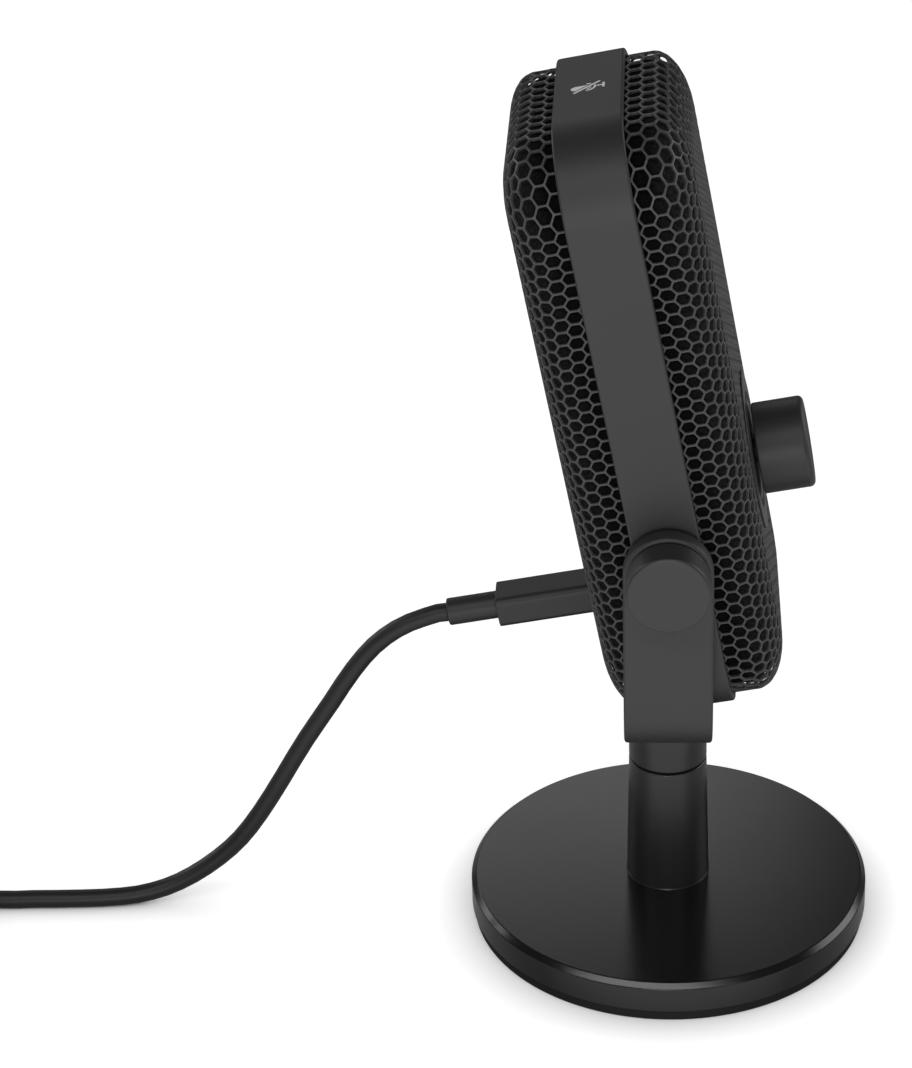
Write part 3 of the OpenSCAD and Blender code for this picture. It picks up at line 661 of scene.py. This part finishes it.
# Outer and inner point at each station along half the U
stations = [((x, bar_low), (x, bar_high)) for x in (0, 8)]
for a in quarter_turn(24):
    stations.append((
        (arm_out - BEND + BEND * math.sin(a), bar_low + BEND - BEND * math.cos(a)),
        (arm_in - bend_in + bend_in * math.sin(a), bar_high + bend_in - bend_in * math.cos(a)),
    ))
stations.append(((arm_out, pivot_z), (arm_in, pivot_z)))

# Half the section: how far out in width, at the outer (0) or inner (1) face, and how deep in
flat = arm_half - EDGE
half = [(0, 0, 0)]
half += [(flat + EDGE * math.sin(a), 0, 1 - math.cos(a)) for a in quarter_turn(5)]
half += [(flat + EDGE * math.cos(a), 1, math.sin(a) - 1) for a in quarter_turn(5)]
half += [(0, 1, 0)]

work = bmesh.new()


def strap_point(side, station, width, share, edge):
    outer, inner = Vector(station[0]), Vector(station[1])
    spot = (inner if share else outer) + (inner - outer).normalized() * edge * EDGE
    return Vector((side * spot.x, width, spot.y)) * MM


END_STEPS = 48
SINK_R, SINK_DEPTH = 4.75, 2.45
BOLT_ROOM = 3.08
for side in (-1, 1):
    for face in (-1, 1):
        rows = []
        for station in stations:
            spots = [strap_point(side, station, face * w, share, edge) for w, share, edge in half]
            rows.append([work.verts.new(spot) for spot in spots])
        bridge(work, rows, wrap=False)
    ends = []
    for i in range(END_STEPS + 1):
        a = math.pi * i / END_STEPS
        row = []
        for w, share, edge in half:
            spot = strap_point(side, stations[-1], w * math.cos(a), share, edge)
            row.append(work.verts.new(spot + Vector((0, 0, w * math.sin(a) * MM))))
        ends.append(row)
    bridge(work, ends, wrap=False)
bmesh.ops.remove_doubles(work, verts=work.verts, dist=2e-6)
outline = [
    (0, bar_low - 1), (SCREW_HOLE, bar_low - 1), (SCREW_HOLE, bar_high - SINK_DEPTH),
    (SINK_R, bar_high - SUNK), (SINK_R, bar_high + 1), (0, bar_high + 1),
]
sink = lathe("cutter", outline, UPRIGHT, CUTTER_SIDES)
sides_out = [aim(pivot, (s, 0, 0)) for s in (-1, 1)]
holes = [bar(BOLT_ROOM, arm_in - 1, arm_out + 1, place) for place in sides_out]
yoke = solid_from("yoke_bent", work, [sink, *holes])
dressed(yoke, strap_paint, "yoke", "yoke_paint", "yoke")

# %% [markdown]
# ## The thumb knobs
#
# Each knob is a plain turned disc with a rounded outer edge. A thin dark washer
# lies between knob and arm, which shows as a dark line at the knob's foot.

# %% Knobs
low, high = reach("right_knob", UPRIGHT)
knob_r, knob_foot, knob_top = high[1], low[0], high[0]
KNOB_ROUND, KNOB_FOOT = 0.8, 0.3
KNOB_BORE, KNOB_CROWN = 3, 2
under = knob_top - KNOB_CROWN
corners = [
    (KNOB_BORE, knob_foot), (knob_r - KNOB_FOOT, knob_foot), (knob_r, knob_foot + KNOB_FOOT),
    (knob_r, knob_top), (0, knob_top), (0, under), (KNOB_BORE, under), (KNOB_BORE, knob_foot),
]
for name, place in zip(("left_knob", "right_knob"), sides_out):
    look = knob_finish, name, "knob_plastic", name
    radii = [0.1, 0.1, KNOB_ROUND, 0, 0, 0]
    turn_and_dress(f"{name}_turned", corners, radii, place, 160, *look)

# %% [markdown]
# ## The band
#
# A metal band round the head's edge holds its two halves together. It is a little
# narrower than the arms, and its edges are broken by a small rounding.

# %% Band
low, high = reach("band", HEAD)
HEAD_R = 19
head_outline = rounded_box(low, high, HEAD_R, 24)
band_half = high[1]
BAND_T, BAND_EDGE = 1.6, 0.6
section = rounded(box(BAND_T, 0, -band_half, band_half), [BAND_EDGE, BAND_EDGE], 4)
BOSS_HOLE = 5.3
holes = [bar(BOSS_HOLE, high[0] - 3, high[0] + 1, place) for place in sides_out]
band = stacked("band_pressed", head_outline, section, HEAD, closed=True, cutters=holes)
dressed(band, strap_paint, "head", "band_paint", "band")

# %% [markdown]
# ## The mute mark
#
# A touch sensor lies under the band's top, and a small printed mark shows where:
# the common sign of a microphone with a stroke through it. A print is far thinner
# than its outline is wide, so each shape is a flat prism that stands out of the
# paint by a few hundredths of a millimetre. No two have quite the same height,
# because faces that lie in one plane would flicker.

# %% Mute mark
band_top = high[2]
MARK = 1.55  # scale of the mark, which is drawn about 5 mm high
INK_SUNK, INK_STEP = 0.02, 0.003
ink = satin("mark_ink", (0.8, 0.8, 0.8), 0.6)


def bow(radius, start, end, y, steps=20):
    """Points on an arc whose middle is at (0, y), between two angles in degrees."""
    turns = [math.radians(start + (end - start) * i / steps) for i in range(steps + 1)]
    return [(radius * math.cos(a), y + radius * math.sin(a)) for a in turns]


def stroke(start, end, width):
    """A straight bar between two points."""
    a, b = Vector(start), Vector(end)
    side = (b - a).orthogonal().normalized() * width / 2
    return [tuple(p) for p in (a - side, b - side, b + side, a + side)]


def printed(name, shapes, height, cutters=()):
    """Flat prisms on the band's top, each a little higher than the one before."""
    work = bmesh.new()
    for k, shape in enumerate(shapes):
        low, high = (
            [work.verts.new(HEAD @ (Vector((x * MARK, y * MARK, z)) * MM)) for x, y in shape]
            for z in (band_top - INK_SUNK, band_top + height + INK_STEP * k)
        )
        work.faces.new(low)
        work.faces.new(high)
        bridge(work, [low, high])
    return solid_from(name, work, cutters)


capsule = bow(0.8, 0, 180, 1.75) + bow(0.8, 180, 360, 0.3)
cradle = bow(1.5, 180, 360, 0.3) + bow(1.15, 360, 180, 0.3)
foot = [stroke((0, -1.3), (0, -2.1), 0.35), stroke((-0.9, -2.25), (0.9, -2.25), 0.35)]
gap = printed("cutter", [stroke((-2.4, 2.9), (2.4, -2.5), 0.95)], 1)
slash = stroke((-1.7, 2.1), (1.7, -1.7), 0.4)
dressed(printed("mute_mark", [capsule, cradle, *foot], 0.02, [gap]), ink, "head", "band_paint")
dressed(printed("mute_stroke", [slash], 0.03), ink, "head", "band_paint")

# %% [markdown]
# ## The foam behind the honeycomb
#
# A liner of black open-cell foam fills each half of the head just behind the
# metal. It is darker than anything else, and a painted shade darkens it further
# beside the band. Its tiny pores only show as a fine speckle through the openings.
# Its corners are rounder than the metal's, so a little light comes through the honeycomb there.

# %% Foam liners
FLIP = HEAD @ Matrix.Rotation(math.pi, 4, "Z")
SHOULDER_IN, SHOULDER_DROP = 13.9, 7.5
FOAM_R, FOAM_T, FOAM_DROP = 19.5, 4, 1.3
PORT_SPACE = np.array((2, 0, 3))
PLATE_LAP = 0.6
BOSS_ROOM = 7.6
KNIFE = (5, 30)  # depths between which the foam is cut out behind plate and socket


def half_section(face, rim, radius, drop, steps=16):
    """(inset, depth) from the rim, up the wall and over the shoulder to the face."""
    line = [(0, rim)]
    for i in range(steps + 1):
        a = math.radians(90 * i / steps)
        line.append((SHOULDER_IN * (1 - math.cos(a)), face - drop * (1 - math.sin(a))))
    return line + [(radius - 0.01, face)]


def on_dial(node):
    """Radius, back and front of a node that is round about the dial's axis."""
    low, high = reach(node, HEAD)
    return high[0], -high[1], -low[1]


foam = Finish("open_cell_foam", (0.006, 0.006, 0.0062), 0.95, Specular_IOR_Level=0.1)
pores = foam.cells(1500)
fibre = foam.noise(2600, detail=2)
back = HEAD.inverted()[1]
depth = foam.vector("DOT_PRODUCT", foam.place(), tuple(back[:3]), out="Value") + back[3]
# Painted shade: the foam's colour fades to near black towards the band, within these distances of
# the head's middle plane
DIM_TO, LIT_FROM = 0.011, 0.018  # metres from the head's middle plane
painted_light = foam.node("ShaderNodeMapRange", {}, depth.by("ABSOLUTE", depth), DIM_TO, LIT_FROM, 0.1, 1.0)
BLACK, GREY = (0.0008, 0.0008, 0.0008, 1), (0.03, 0.03, 0.031, 1)
foam.set("Base Color", foam.mix((pores * 0.9 + fibre * 0.5) * painted_light, BLACK, GREY))
foam.bump(pores + fibre * 0.4, 0.9, 0.0004)

low, high = reach("rear_foam", HEAD)
foam_outline = rounded_box(low, high, FOAM_R, 12)
section = [(FOAM_R - 0.01, high[1] - FOAM_T), (FOAM_T, high[1] - FOAM_T), (FOAM_T, low[1])]
section += half_section(high[1], low[1], FOAM_R, SHOULDER_DROP + FOAM_DROP)
dial_x, _, dial_z = sum(reach("dial_plate", HEAD)) / 2
plate_r, plate_back, plate_face = on_dial("dial_plate")
dial_place = aim(HEAD @ (Vector((dial_x, 0, dial_z)) * MM), HEAD.to_3x3() @ Vector((0, -1, 0)))
low, high = reach("port_plate", HEAD)
port_z = (low[2] + high[2]) / 2
port_room = rounded_box(low - PORT_SPACE, high + PORT_SPACE, 5, 8)
for name, place in (("front", FLIP), ("rear", HEAD)):
    if name == "front":
        knife = bar(plate_r - PLATE_LAP, *KNIFE, dial_place)
    else:
        knife = stacked("cutter", port_room, [(0, depth) for depth in KNIFE], HEAD)
    boss_room = [bar(BOSS_ROOM, 20, 40, side) for side in sides_out]
    liner = stacked(f"{name}_foam_liner", foam_outline, section, place, cutters=[knife, *boss_room])
    dressed(liner, foam.material, "head", "foam", f"{name}_foam")

# %% [markdown]
# ## The honeycomb: where its cells lie
#
# The grilles are thin metal, pierced with hexagons and pressed to shape. The
# cells stand in columns that follow the head's outline, each half a cell up from
# its neighbour. Round the rim they are laid out as closed rings, which turn the
# head's corners with it. Towards the top the columns spread apart a little, as
# they do where sheet is drawn over a corner. On the open face, rings would pinch,
# so straight columns fill it, and a triangulation joins the two.
#
# Distances are measured along the metal: `t` runs from the rim, up the wall, over
# the shoulder and across the face to the middle line.

# %% Lattice of cell middles
low, high = reach("rear_grille", HEAD)
GRILLE_R = 17.2
rim, face = low[1], high[1]
core_x, core_low, core_high = high[0] - GRILLE_R, low[2] + GRILLE_R, high[2] - GRILLE_R
arc = np.array(half_section(face, rim, GRILLE_R, SHOULDER_DROP, 400)[:-1])
run = np.append(0, np.cumsum(np.linalg.norm(np.diff(arc, axis=0), axis=1)))
flat_t = run[-1] + GRILLE_R - SHOULDER_IN
middle_t = run[-1] + high[0] - SHOULDER_IN
BEFORE, PAST = 9, 40  # the section goes on straight at both ends
run = np.concatenate([[-BEFORE], run, [run[-1] + PAST]])
profile = np.vstack([(0, rim - BEFORE), arc, (SHOULDER_IN + PAST, face)])
RINGS = 6  # closed rings round the rim
COLUMNS = 14  # from the rim to the middle line
SIDE, TOP_CORNER, LOW_CORNER = 36, 6, 8  # cells along a side and round its corners
STEP = (core_high - core_low) / SIDE
MORE_ROWS = 14  # rows of the straight columns past each end of a side
JOIN = 0.78  # least distance from the last ring to a straight column's cell, in steps
INDENT, CLOSER, WIDER = 2.45, 0.75, 3.3  # what all the columns together lose or gain
ROUNDS, PASSES = 3, 4  # triangulations, and smoothings after each
cores = [Vector((x, z)) for x, z in (
    (core_x, core_low), (core_x, core_high), (-core_x, core_high), (-core_x, core_low)
)]


def spacing(z):
    """Distance between columns at height z: closer half way up, wider at the top."""
    return (middle_t - INDENT - CLOSER * eased(z, 8, 42) + WIDER * eased(z, 40, 82)) / COLUMNS


def around(u, top, bottom):
    """Core point and outward direction, u steps round from the foot of the right side."""
    runs = ((SIDE, TOP_CORNER), (top, TOP_CORNER), (SIDE, LOW_CORNER), (bottom, LOW_CORNER))
    u %= sum(map(sum, runs))
    for i, (steps, corner) in enumerate(runs):
        core = cores[(i + 1) % 4]
        if u < steps:
            a = i * math.pi / 2
            return cores[i].lerp(core, u / steps), Vector((math.cos(a), math.sin(a)))
        u -= steps
        if u < corner:
            a = (i + u / corner) * math.pi / 2
            return core, Vector((math.cos(a), math.sin(a)))
        u -= corner


def flat_core(p):
    """Nearest core point of a point of the metal laid flat, and t there."""
    core = Vector((min(max(p.x, -core_x), core_x), min(max(p.y, core_low), core_high)))
    return core, flat_t - (p - core).length


def on_metal(p):
    """From the metal laid flat to its pressed shape, in metres, with depth along Y."""
    core, t = flat_core(p)
    inset, depth = (np.interp(t, run, profile[:, k]) for k in (0, 1))
    x, z = core + (p - core).normalized() * (GRILLE_R - inset) if t < flat_t else p
    return Vector((x, depth, z)) * MM


def lattice(name, first, top, bottom):
    """A mesh whose points are the middles of the cells; first is the outermost column's number."""
    count = round(2 * (SIDE + TOP_CORNER + LOW_CORNER) + top + bottom)
    flat, faces = [], []
    for ring in range(RINGS):
        for k in range(count):
            core, way = around(k + ring % 2 / 2, top, bottom)
            flat.append(core + way * (flat_t - middle_t + (first - ring) * spacing(core.y)))
    for ring in range(RINGS - 1):
        for k in range(count):
            a, b = ring * count + k, ring * count + (k + 1) % count
            c, d = a + count, b + count
            faces += [(a, c, b), (b, c, d)] if ring % 2 == 0 else [(a, c, d), (a, d, b)]
    edge = len(flat) - count
    for i in range(RINGS, round(2 * first) - RINGS + 1):
        for k in range(-MORE_ROWS, SIDE + MORE_ROWS):
            z = core_low + STEP * (k + i % 2 / 2)
            p = Vector(((first - i) * spacing(z), z))
            core, t = flat_core(p)
            if t > middle_t - (first - RINGS + 1) * spacing(core.y) + JOIN * STEP:
                flat.append(p)
    fixed = len(flat[: edge + count])
    loop = [(i, (i + 1) % count) for i in range(count)]
    for _ in range(ROUNDS):
        result = delaunay_2d_cdt(flat[edge:], loop, [list(range(count))], 1, 1e-6)
        inner, origin = result[2:4]
        number = [edge + origins[0] for origins in origin]
        inner = [tuple(number[i] for i in reversed(face)) for face in inner]
        near = {}
        for tri in inner:
            for i in tri:
                near.setdefault(i, set()).update(tri)
        for _ in range(PASSES):
            for i, others in near.items():
                p = flat[i]
                past = max(p.y - core_high, core_low - p.y) / STEP
                if i >= fixed and past > -2:
                    mean = sum((flat[k] for k in others if k != i), Vector((0, 0)))
                    flat[i] = p.lerp(mean / (len(others) - 1), 0.5 * eased(past, -2, 1))
    mesh = bpy.data.meshes.new(name)
    mesh.from_pydata([on_metal(p) for p in flat], [], faces + inner)
    mesh.update()
    print(name, "has", len(flat), "cells")
    return mesh


# %% [markdown]
# ## The honeycomb: from middles to metal
#
# Geometry Nodes turn the lattice into pierced sheet. Each triangle between three
# cells is divided into six small ones, which share a cell's middle, the middle of
# a rib and a joint where three ribs meet. The dual of that mesh has a face for
# every opening, rib and joint. Its points are moved until the ribs have their
# width and the openings their rounded corners, then laid on the pressed shape.
# The openings are deleted, and the rest is given its thickness and a fine bevel.


# %% Nodes that pierce the sheet
SHEET, LIP, RIB, RIB_BEVEL = 0.6, 0.8, 0.5, 0.1
ROUNDING = 0.24  # share of half an opening's side that its rounded corner takes
LEAST_RIM, RIM_LIFT = 0.0003, 0.00005  # metres above the sheet's open edge


def pierced_sheet(title, shape, ring, lowest, hole_middle, hole_half, hole_power):
    """Nodes that make a lattice into sheet of the given shape, with one larger hole in it."""
    wall, bevel = SHEET * MM, RIB_BEVEL * MM
    net = Net(bpy.data.node_groups.new(title, "GeometryNodeTree"))
    for way in ("INPUT", "OUTPUT"):
        net.tree.interface.new_socket("Sheet", in_out=way, socket_type="NodeSocketGeometry")
    sheet = Wire(net, net.tree.nodes.new("NodeGroupInput").outputs[0])

    def geo(kind, *values, **named):
        return net.node("GeometryNode" + kind, {}, *values, **named)

    def stored(sheet, name, value, domain, kind="FLOAT_VECTOR"):
        settings = {"domain": domain, "data_type": kind}
        return net.node("GeometryNodeStoreNamedAttribute", settings, sheet, Name=name, Value=value)

    def read(name, kind="FLOAT_VECTOR"):
        return net.node("GeometryNodeInputNamedAttribute", {"data_type": kind}, name)

    def scaled(way, length):
        return net.vector("SCALE", way, Scale=length)

    def extruded(sheet, selection=True):
        made = geo("ExtrudeMesh", sheet, selection, Offset_Scale=0.0, Individual=False)
        return made, Wire(net, made.socket.node.outputs["Top"])

    counts = ("Point Count", "Edge Count")
    points, edges = (geo("AttributeDomainSize", sheet, out=count) for count in counts)
    index = geo("InputIndex")
    spot = geo("InputPosition")
    is_hole = index.below(points)
    is_joint = index.above(points + edges - 0.5)
    sheet = geo("SubdivideMesh", sheet, 1)
    sheet = net.node("GeometryNodeTriangulate", {"quad_method": "FIXED"}, sheet)
    for name, flag in (("hole", is_hole), ("rib", 1 - is_hole - is_joint), ("joint", is_joint)):
        settings = {"domain": "POINT", "data_type": "FLOAT_VECTOR"}
        corner = net.node("GeometryNodeFieldOnDomain", settings, scaled(spot, flag * 3))
        sheet = stored(sheet, name, corner, "FACE")
    sheet = stored(sheet, "open", is_hole, "POINT", "FLOAT")
    sheet = geo("DualMesh", sheet, False)

    hole, rib, joint = read("hole"), read("rib"), read("joint")
    to_rib = net.vector("SUBTRACT", rib, hole)
    along = scaled(net.vector("SUBTRACT", joint, rib), 1 - ROUNDING)
    share = 1 - RIB / 2 * MM / net.vector("LENGTH", to_rib, out="Value")
    place = net.vector("ADD", hole, scaled(net.vector("ADD", to_rib, along), share))
    shape = geo("ObjectInfo", shape, out="Geometry")
    on_shape = geo("Proximity", shape, Source_Position=place)
    sheet = geo("SetPosition", sheet, Position=on_shape)
    kind, settings = "GeometryNodeSampleNearestSurface", {"data_type": "FLOAT_VECTOR"}
    normal = geo("InputNormal")
    outward = net.node(kind, settings, shape, normal, Sample_Position=spot)
    sheet = stored(sheet, "outward", outward, "POINT")

    off = net.vector("SUBTRACT", spot, hole_middle)
    off = net.vector("ABSOLUTE", net.vector("DIVIDE", off, hole_half))
    x, z = (net.node("ShaderNodeSeparateXYZ", {}, off, out=name) for name in "XZ")
    inside = (x**hole_power + z**hole_power).below(1)
    depth = net.node("ShaderNodeSeparateXYZ", {}, spot, out="Y")
    too_low = depth.below(lowest + LEAST_RIM)
    gone = (read("open", "FLOAT").above(0.5) + inside + too_low).above(0.5)
    sheet = net.node("GeometryNodeDeleteGeometry", {"domain": "FACE"}, sheet, gone)
    short = lowest + RIM_LIFT - depth
    lift = net.node("ShaderNodeCombineXYZ", {}, Y=short.by("MAXIMUM", short, 0))
    sheet = geo("SetPosition", sheet, Offset=lift)

    outward = read("outward")
    under = geo("SetPosition", sheet, Offset=scaled(outward, -wall))
    body, top = extruded(under)
    body = geo("SetPosition", body, Selection=top, Offset=scaled(outward, wall - bevel))
    body, crown = extruded(body, top)
    away = net.vector("NORMALIZE", net.vector("SUBTRACT", spot, hole))
    edge = scaled(net.vector("ADD", outward, away), bevel)
    body = geo("SetPosition", body, Selection=crown, Offset=edge)
    whole = net.joined(body, geo("FlipFaces", under))
    whole = geo("MergeByDistance", whole, Distance=1e-6)
    whole = net.joined(whole, geo("ObjectInfo", ring, out="Geometry"))
    net.feed(net.tree.nodes.new("NodeGroupOutput").inputs[0], geo("RealizeInstances", whole))
    print(title, "takes", len(net.tree.nodes), "nodes")
    return net.tree


print("sheet", SHEET, "mm thick, with ribs of", RIB, "mm")

# %% Both grilles
PLATE_OVER = 0.9  # how far the dial's plate covers the sheet
PORT_HALF = (13.2, 1, 6.4)  # half the opening for the socket, whose corners are nearly square
grille_outline = rounded_box(low, high, GRILLE_R, 40)
grille_paint = satin("grille_charcoal", (0.054, 0.054, 0.0545), 0.48)
dial_half = (plate_r - PLATE_OVER, 1, plate_r - PLATE_OVER)
for name, place, first, top, bottom, middle, half, power in (
    ("front", FLIP, 15, 8, 11, (-dial_x, 0, dial_z), dial_half, 2),
    ("rear", HEAD, 15.5, 8.5, 11.5, (0, 0, port_z), PORT_HALF, 8),
):
    section = half_section(face, rim, GRILLE_R, SHOULDER_DROP, 32)
    shape = stacked("grille_shape", grille_outline, section, UPRIGHT)
    section = [(0, rim), (0, rim + LIP), (SHEET, rim + LIP), (SHEET, rim)]
    ring = stacked("grille_rim", grille_outline, section, UPRIGHT, closed=True)
    comb = added(f"{name}_honeycomb", lattice(f"{name}_lattice", first, top, bottom))
    hole = Vector(middle) * MM, Vector(half) * MM, power
    tree = pierced_sheet(f"{name}_sheet", shape, ring, rim * MM, *hole)
    comb.modifiers.new("pierce", "NODES").node_group = tree
    applied(comb)
    for key in ("hole", "rib", "joint", "open", "outward"):
        if key in comb.data.attributes:
            comb.data.attributes.remove(comb.data.attributes[key])
    comb.data.transform(place)
    for helper in (shape, ring):
        bpy.data.objects.remove(helper)
    shaded(comb, 30)
    dressed(comb, grille_paint, "head", "grille_plastic", f"{name}_grille")

# %% [markdown]
# ## The dial and the plate round it
#
# A smooth plate stands a little out of the honeycomb, with a ring of smoked
# plastic in it for a light. The dial is a plain turned knob whose front cap has a
# rounded rim round a shallow well. The joint between cap and body is a hairline.

# %% Dial
ring_r, ring_back, ring_face = on_dial("light_ring")
RING_W = 1.6
SHAFT_HOLE, FLANGE, OFF_SHEET = 3.5, 1.2, 0.02
spigot_r, flange_back = plate_r - FLANGE, face + OFF_SHEET
ring_in, slot_in, slot_out = ring_r - RING_W, ring_r - RING_W - CLEAR, ring_r + CLEAR
slot_back = ring_back - 2 * CLEAR
corners = [
    (SHAFT_HOLE, plate_back), (spigot_r, plate_back), (spigot_r, flange_back),
    (plate_r, flange_back), (plate_r, plate_face), (slot_out, plate_face), (slot_out, slot_back),
    (slot_in, slot_back), (slot_in, plate_face), (SHAFT_HOLE, plate_face),
]
radii = [0, 0, 0.08, 0.3, 0.1, 0, 0, 0.1]
look = plate_plastic, "head", "plate_plastic", "dial_plate"
turn_and_dress("dial_plate_moulded", corners, radii, dial_place, 192, *look)
corners = [*box(ring_in, ring_r, ring_back, ring_face), (ring_in, ring_back)]
look = light_plastic, "head", "light_plastic", "light_ring"
turn_and_dress("light_ring_moulded", corners, [0.05, 0.2, 0.2], dial_place, 160, *look)

dial_r, dial_back, _ = on_dial("dial")
_, cap_back, cap_front = on_dial("dial_cap")
SHAFT_ROOM, JOINT, JOINT_DEPTH = 3, 0.01, 0.5
step_r, step_back = dial_r - JOINT_DEPTH, cap_back - JOINT
corners = [
    (SHAFT_ROOM, dial_back), (dial_r, dial_back), (dial_r, step_back),
    (step_r, step_back), (step_r, cap_back), (SHAFT_ROOM, cap_back),
]
look = dial_plastic, "dial", "dial_plastic", "dial"
turn_and_dress("dial_turned", corners, [0.4, 0.004, 0, 0], dial_place, 192, *look)
CAP_RIM, WELL_RIM, WELL = 2.2, 3.6, 0.4
well = cap_front - WELL
corners = [
    (0, cap_back), (dial_r, cap_back), (dial_r, cap_front),
    (dial_r - CAP_RIM, cap_front), (dial_r - WELL_RIM, well), (0, well),
]
look = dial_plastic, "dial", "dial_plastic", "dial_cap"
radii = [0.004, 1.3, 0.8, 1.2]
turn_and_dress("dial_cap_turned", corners, radii, dial_place, 192, *look, closed=False)

# %% [markdown]
# ## The plug
#
# The plug's grip is a rounded box, flat on top. Its strain relief is a plain
# round sleeve with its end broken by a small rounding.

# %% Plug and strain relief
low, high = reach("plug", HEAD)
PLUG_R = 1.8
grip = rounded_box(low, high, PLUG_R, 8)
section = rounded(box(PLUG_R, 0, low[1], high[1]), [0.4, 0.35])[1:-1]
plug = stacked("plug_moulded", grip, section, HEAD)
dressed(plug, plug_plastic, "head", "plug_plastic", "plug")

low, high = reach("plug_relief", HEAD)
relief_place = aim(cord_exit - cord_way * (high[1] + CORD_GAP) * MM, cord_way)
corners = box(0, high[0], low[1], high[1])
look = plug_plastic, "head", "plug_plastic", "plug_relief"
name, radii = "plug_relief_moulded", [0.05, 0.3]
turn_and_dress(name, corners, radii, relief_place, 64, *look, closed=False)

# %% [markdown]
# ## What the engineering model already shapes well
#
# Bolts, washers, boards and the other inner pieces keep the shape that the model
# gives them, and each takes its own finish. The dial's shaft is dark, because
# bright metal would glint in the narrow gap behind the dial.

# %% Finishes of the remaining nodes
kept = {
    "washer_plastic": dark_washer, "steel": steel, "brass": brass, "board_green": board,
    "frame_plastic": inner_plastic, "holder_rubber": rubber, "encoder_plastic": inner_plastic,
    "dial_plastic": dial_plastic, "plate_plastic": plate_plastic, "plug_plastic": plug_plastic,
    "tie_plastic": tie_cloth, "foam": rubber, "grille_plastic": strap_paint, "pad_rubber": rubber,
    "base_paint": base_paint, "post_paint": post_paint, "yoke_paint": strap_paint,
    "band_paint": strap_paint, "knob_plastic": knob_finish, "light_plastic": light_plastic,
    "cord_jacket": jacket.material,
}
for node in frame["nodes"].values():
    for slot in node.material_slots:
        slot.material = kept.get(slot.name, slot.material)
for slot in frame["nodes"]["dial_shaft"].material_slots:
    slot.material = dark_washer
print({slot.material.name for node in frame["nodes"].values() for slot in node.material_slots})

# %% [markdown]
# ## Floor and light
#
# The studio is plain: a white floor and backdrop that run on for ever, a dim
# room, and large soft lamps. A matt floor under this light would be grey, and
# more light would wash out the black paint, so the floor glows a little for the
# rays that look at it: a Light Path node tells those rays from the ones that
# carry light about. An Ambient Occlusion node takes the glow away close under the
# object, which leaves the shade of contact there. Reflections see the glow only
# on the camera's side, so that the base doesn't mirror a glowing floor behind it.
# The room does the same: it is white for the camera and dim for everything else.
#
# Satin black is shaped by what it reflects. A high and a low lamp on the camera's
# side light what faces it. A low window behind the object shows in the top of the
# base, and a lamp at either side edges the front and the back of the head.

# %% Floor, room and lamps
FLOOR_HALF = 4  # metres from the middle to an edge
GLOW = 0.75
GLOW_FROM, GLOW_FULL = -0.042, -0.058  # metres across, where reflections start to see the glow
CONTACT = 0.012  # metres that the shade of contact reaches
ROOM, BACKDROP = 0.05, 0.93

floor = added("floor", bpy.data.meshes.new("floor"))
work = bmesh.new()
bmesh.ops.create_grid(work, x_segments=1, y_segments=1, size=FLOOR_HALF)
work.to_mesh(floor.data)
work.free()
white = Finish("floor_white", (0.8, 0.8, 0.8), 0.9, Specular_IOR_Level=0.0)
camera_ray, glossy_ray, clear_ray = (
    white.node("ShaderNodeLightPath", {}, out=f"Is {kind} Ray")
    for kind in ("Camera", "Glossy", "Transmission")
)
seen = (camera_ray + glossy_ray + clear_ray).above(0.5)
east = white.node("ShaderNodeSeparateXYZ", {}, white.place())
near_side = white.node("ShaderNodeMapRange", {}, east, GLOW_FROM, GLOW_FULL, 0.0, 1.0)
open_air = white.node("ShaderNodeAmbientOcclusion", {"samples": 8}, Distance=CONTACT, out="AO")
share = (camera_ray + clear_ray) * open_air + glossy_ray * near_side
white.set("Base Color", white.mix(seen, (0.8, 0.8, 0.8, 1), (0.68, 0.68, 0.68, 1)))
glow = white.node("ShaderNodeEmission", {}, (1, 1, 1, 1), share * GLOW)
both = white.node("ShaderNodeAddShader", {}, Wire(white, white.shader.outputs[0]), glow)
white.feed(white.tree.nodes["Material Output"].inputs["Surface"], both)
floor.data.materials.append(white.material)

world = bpy.data.worlds.new("studio")
bpy.context.scene.world = world
world.use_nodes = True
air = Net(world.node_tree)
background = world.node_tree.nodes["Background"].inputs
background["Color"].default_value = (1, 1, 1, 1)
seen = air.node("ShaderNodeLightPath", {}, out="Is Camera Ray")
air.feed(background["Strength"], seen * BACKDROP + ROOM)


def lamp(name, place, target, width, height, glow):
    """A soft rectangular lamp that is glow times as bright as white."""
    light = bpy.data.lights.new(name, "AREA")
    light.shape, light.size, light.size_y = "RECTANGLE", width, height
    light.energy = math.pi * width * height * glow
    panel = added(name, light)
    panel.matrix_world = aim(place, Vector(place) - Vector(target))
    panel.visible_camera = False
    print("lamp", name, "at", place, "with", round(light.energy, 1), "W")


lamp("high_lamp", (-1.23, 0.2, 1.58), (0, 0, 0.05), 3.2, 0.2, 9.0)
lamp("low_lamp", (-2.0, 0.1, 0.35), (0, 0, 0.08), 0.7, 0.45, 9.0)
lamp("window", (1.75, 0.36, 1.08), (0, 0, 0.01), 1.0, 0.36, 2.0)
lamp("dial_lamp", (0.7, -1.8, 0.8), (0, 0, 0.12), 1.5, 0.7, 4.0)
lamp("rear_lamp", (1.0, 1.7, 0.8), (0, 0, 0.1), 1.2, 0.7, 3.2)
bpy.context.scene.view_settings.view_transform = "Standard"
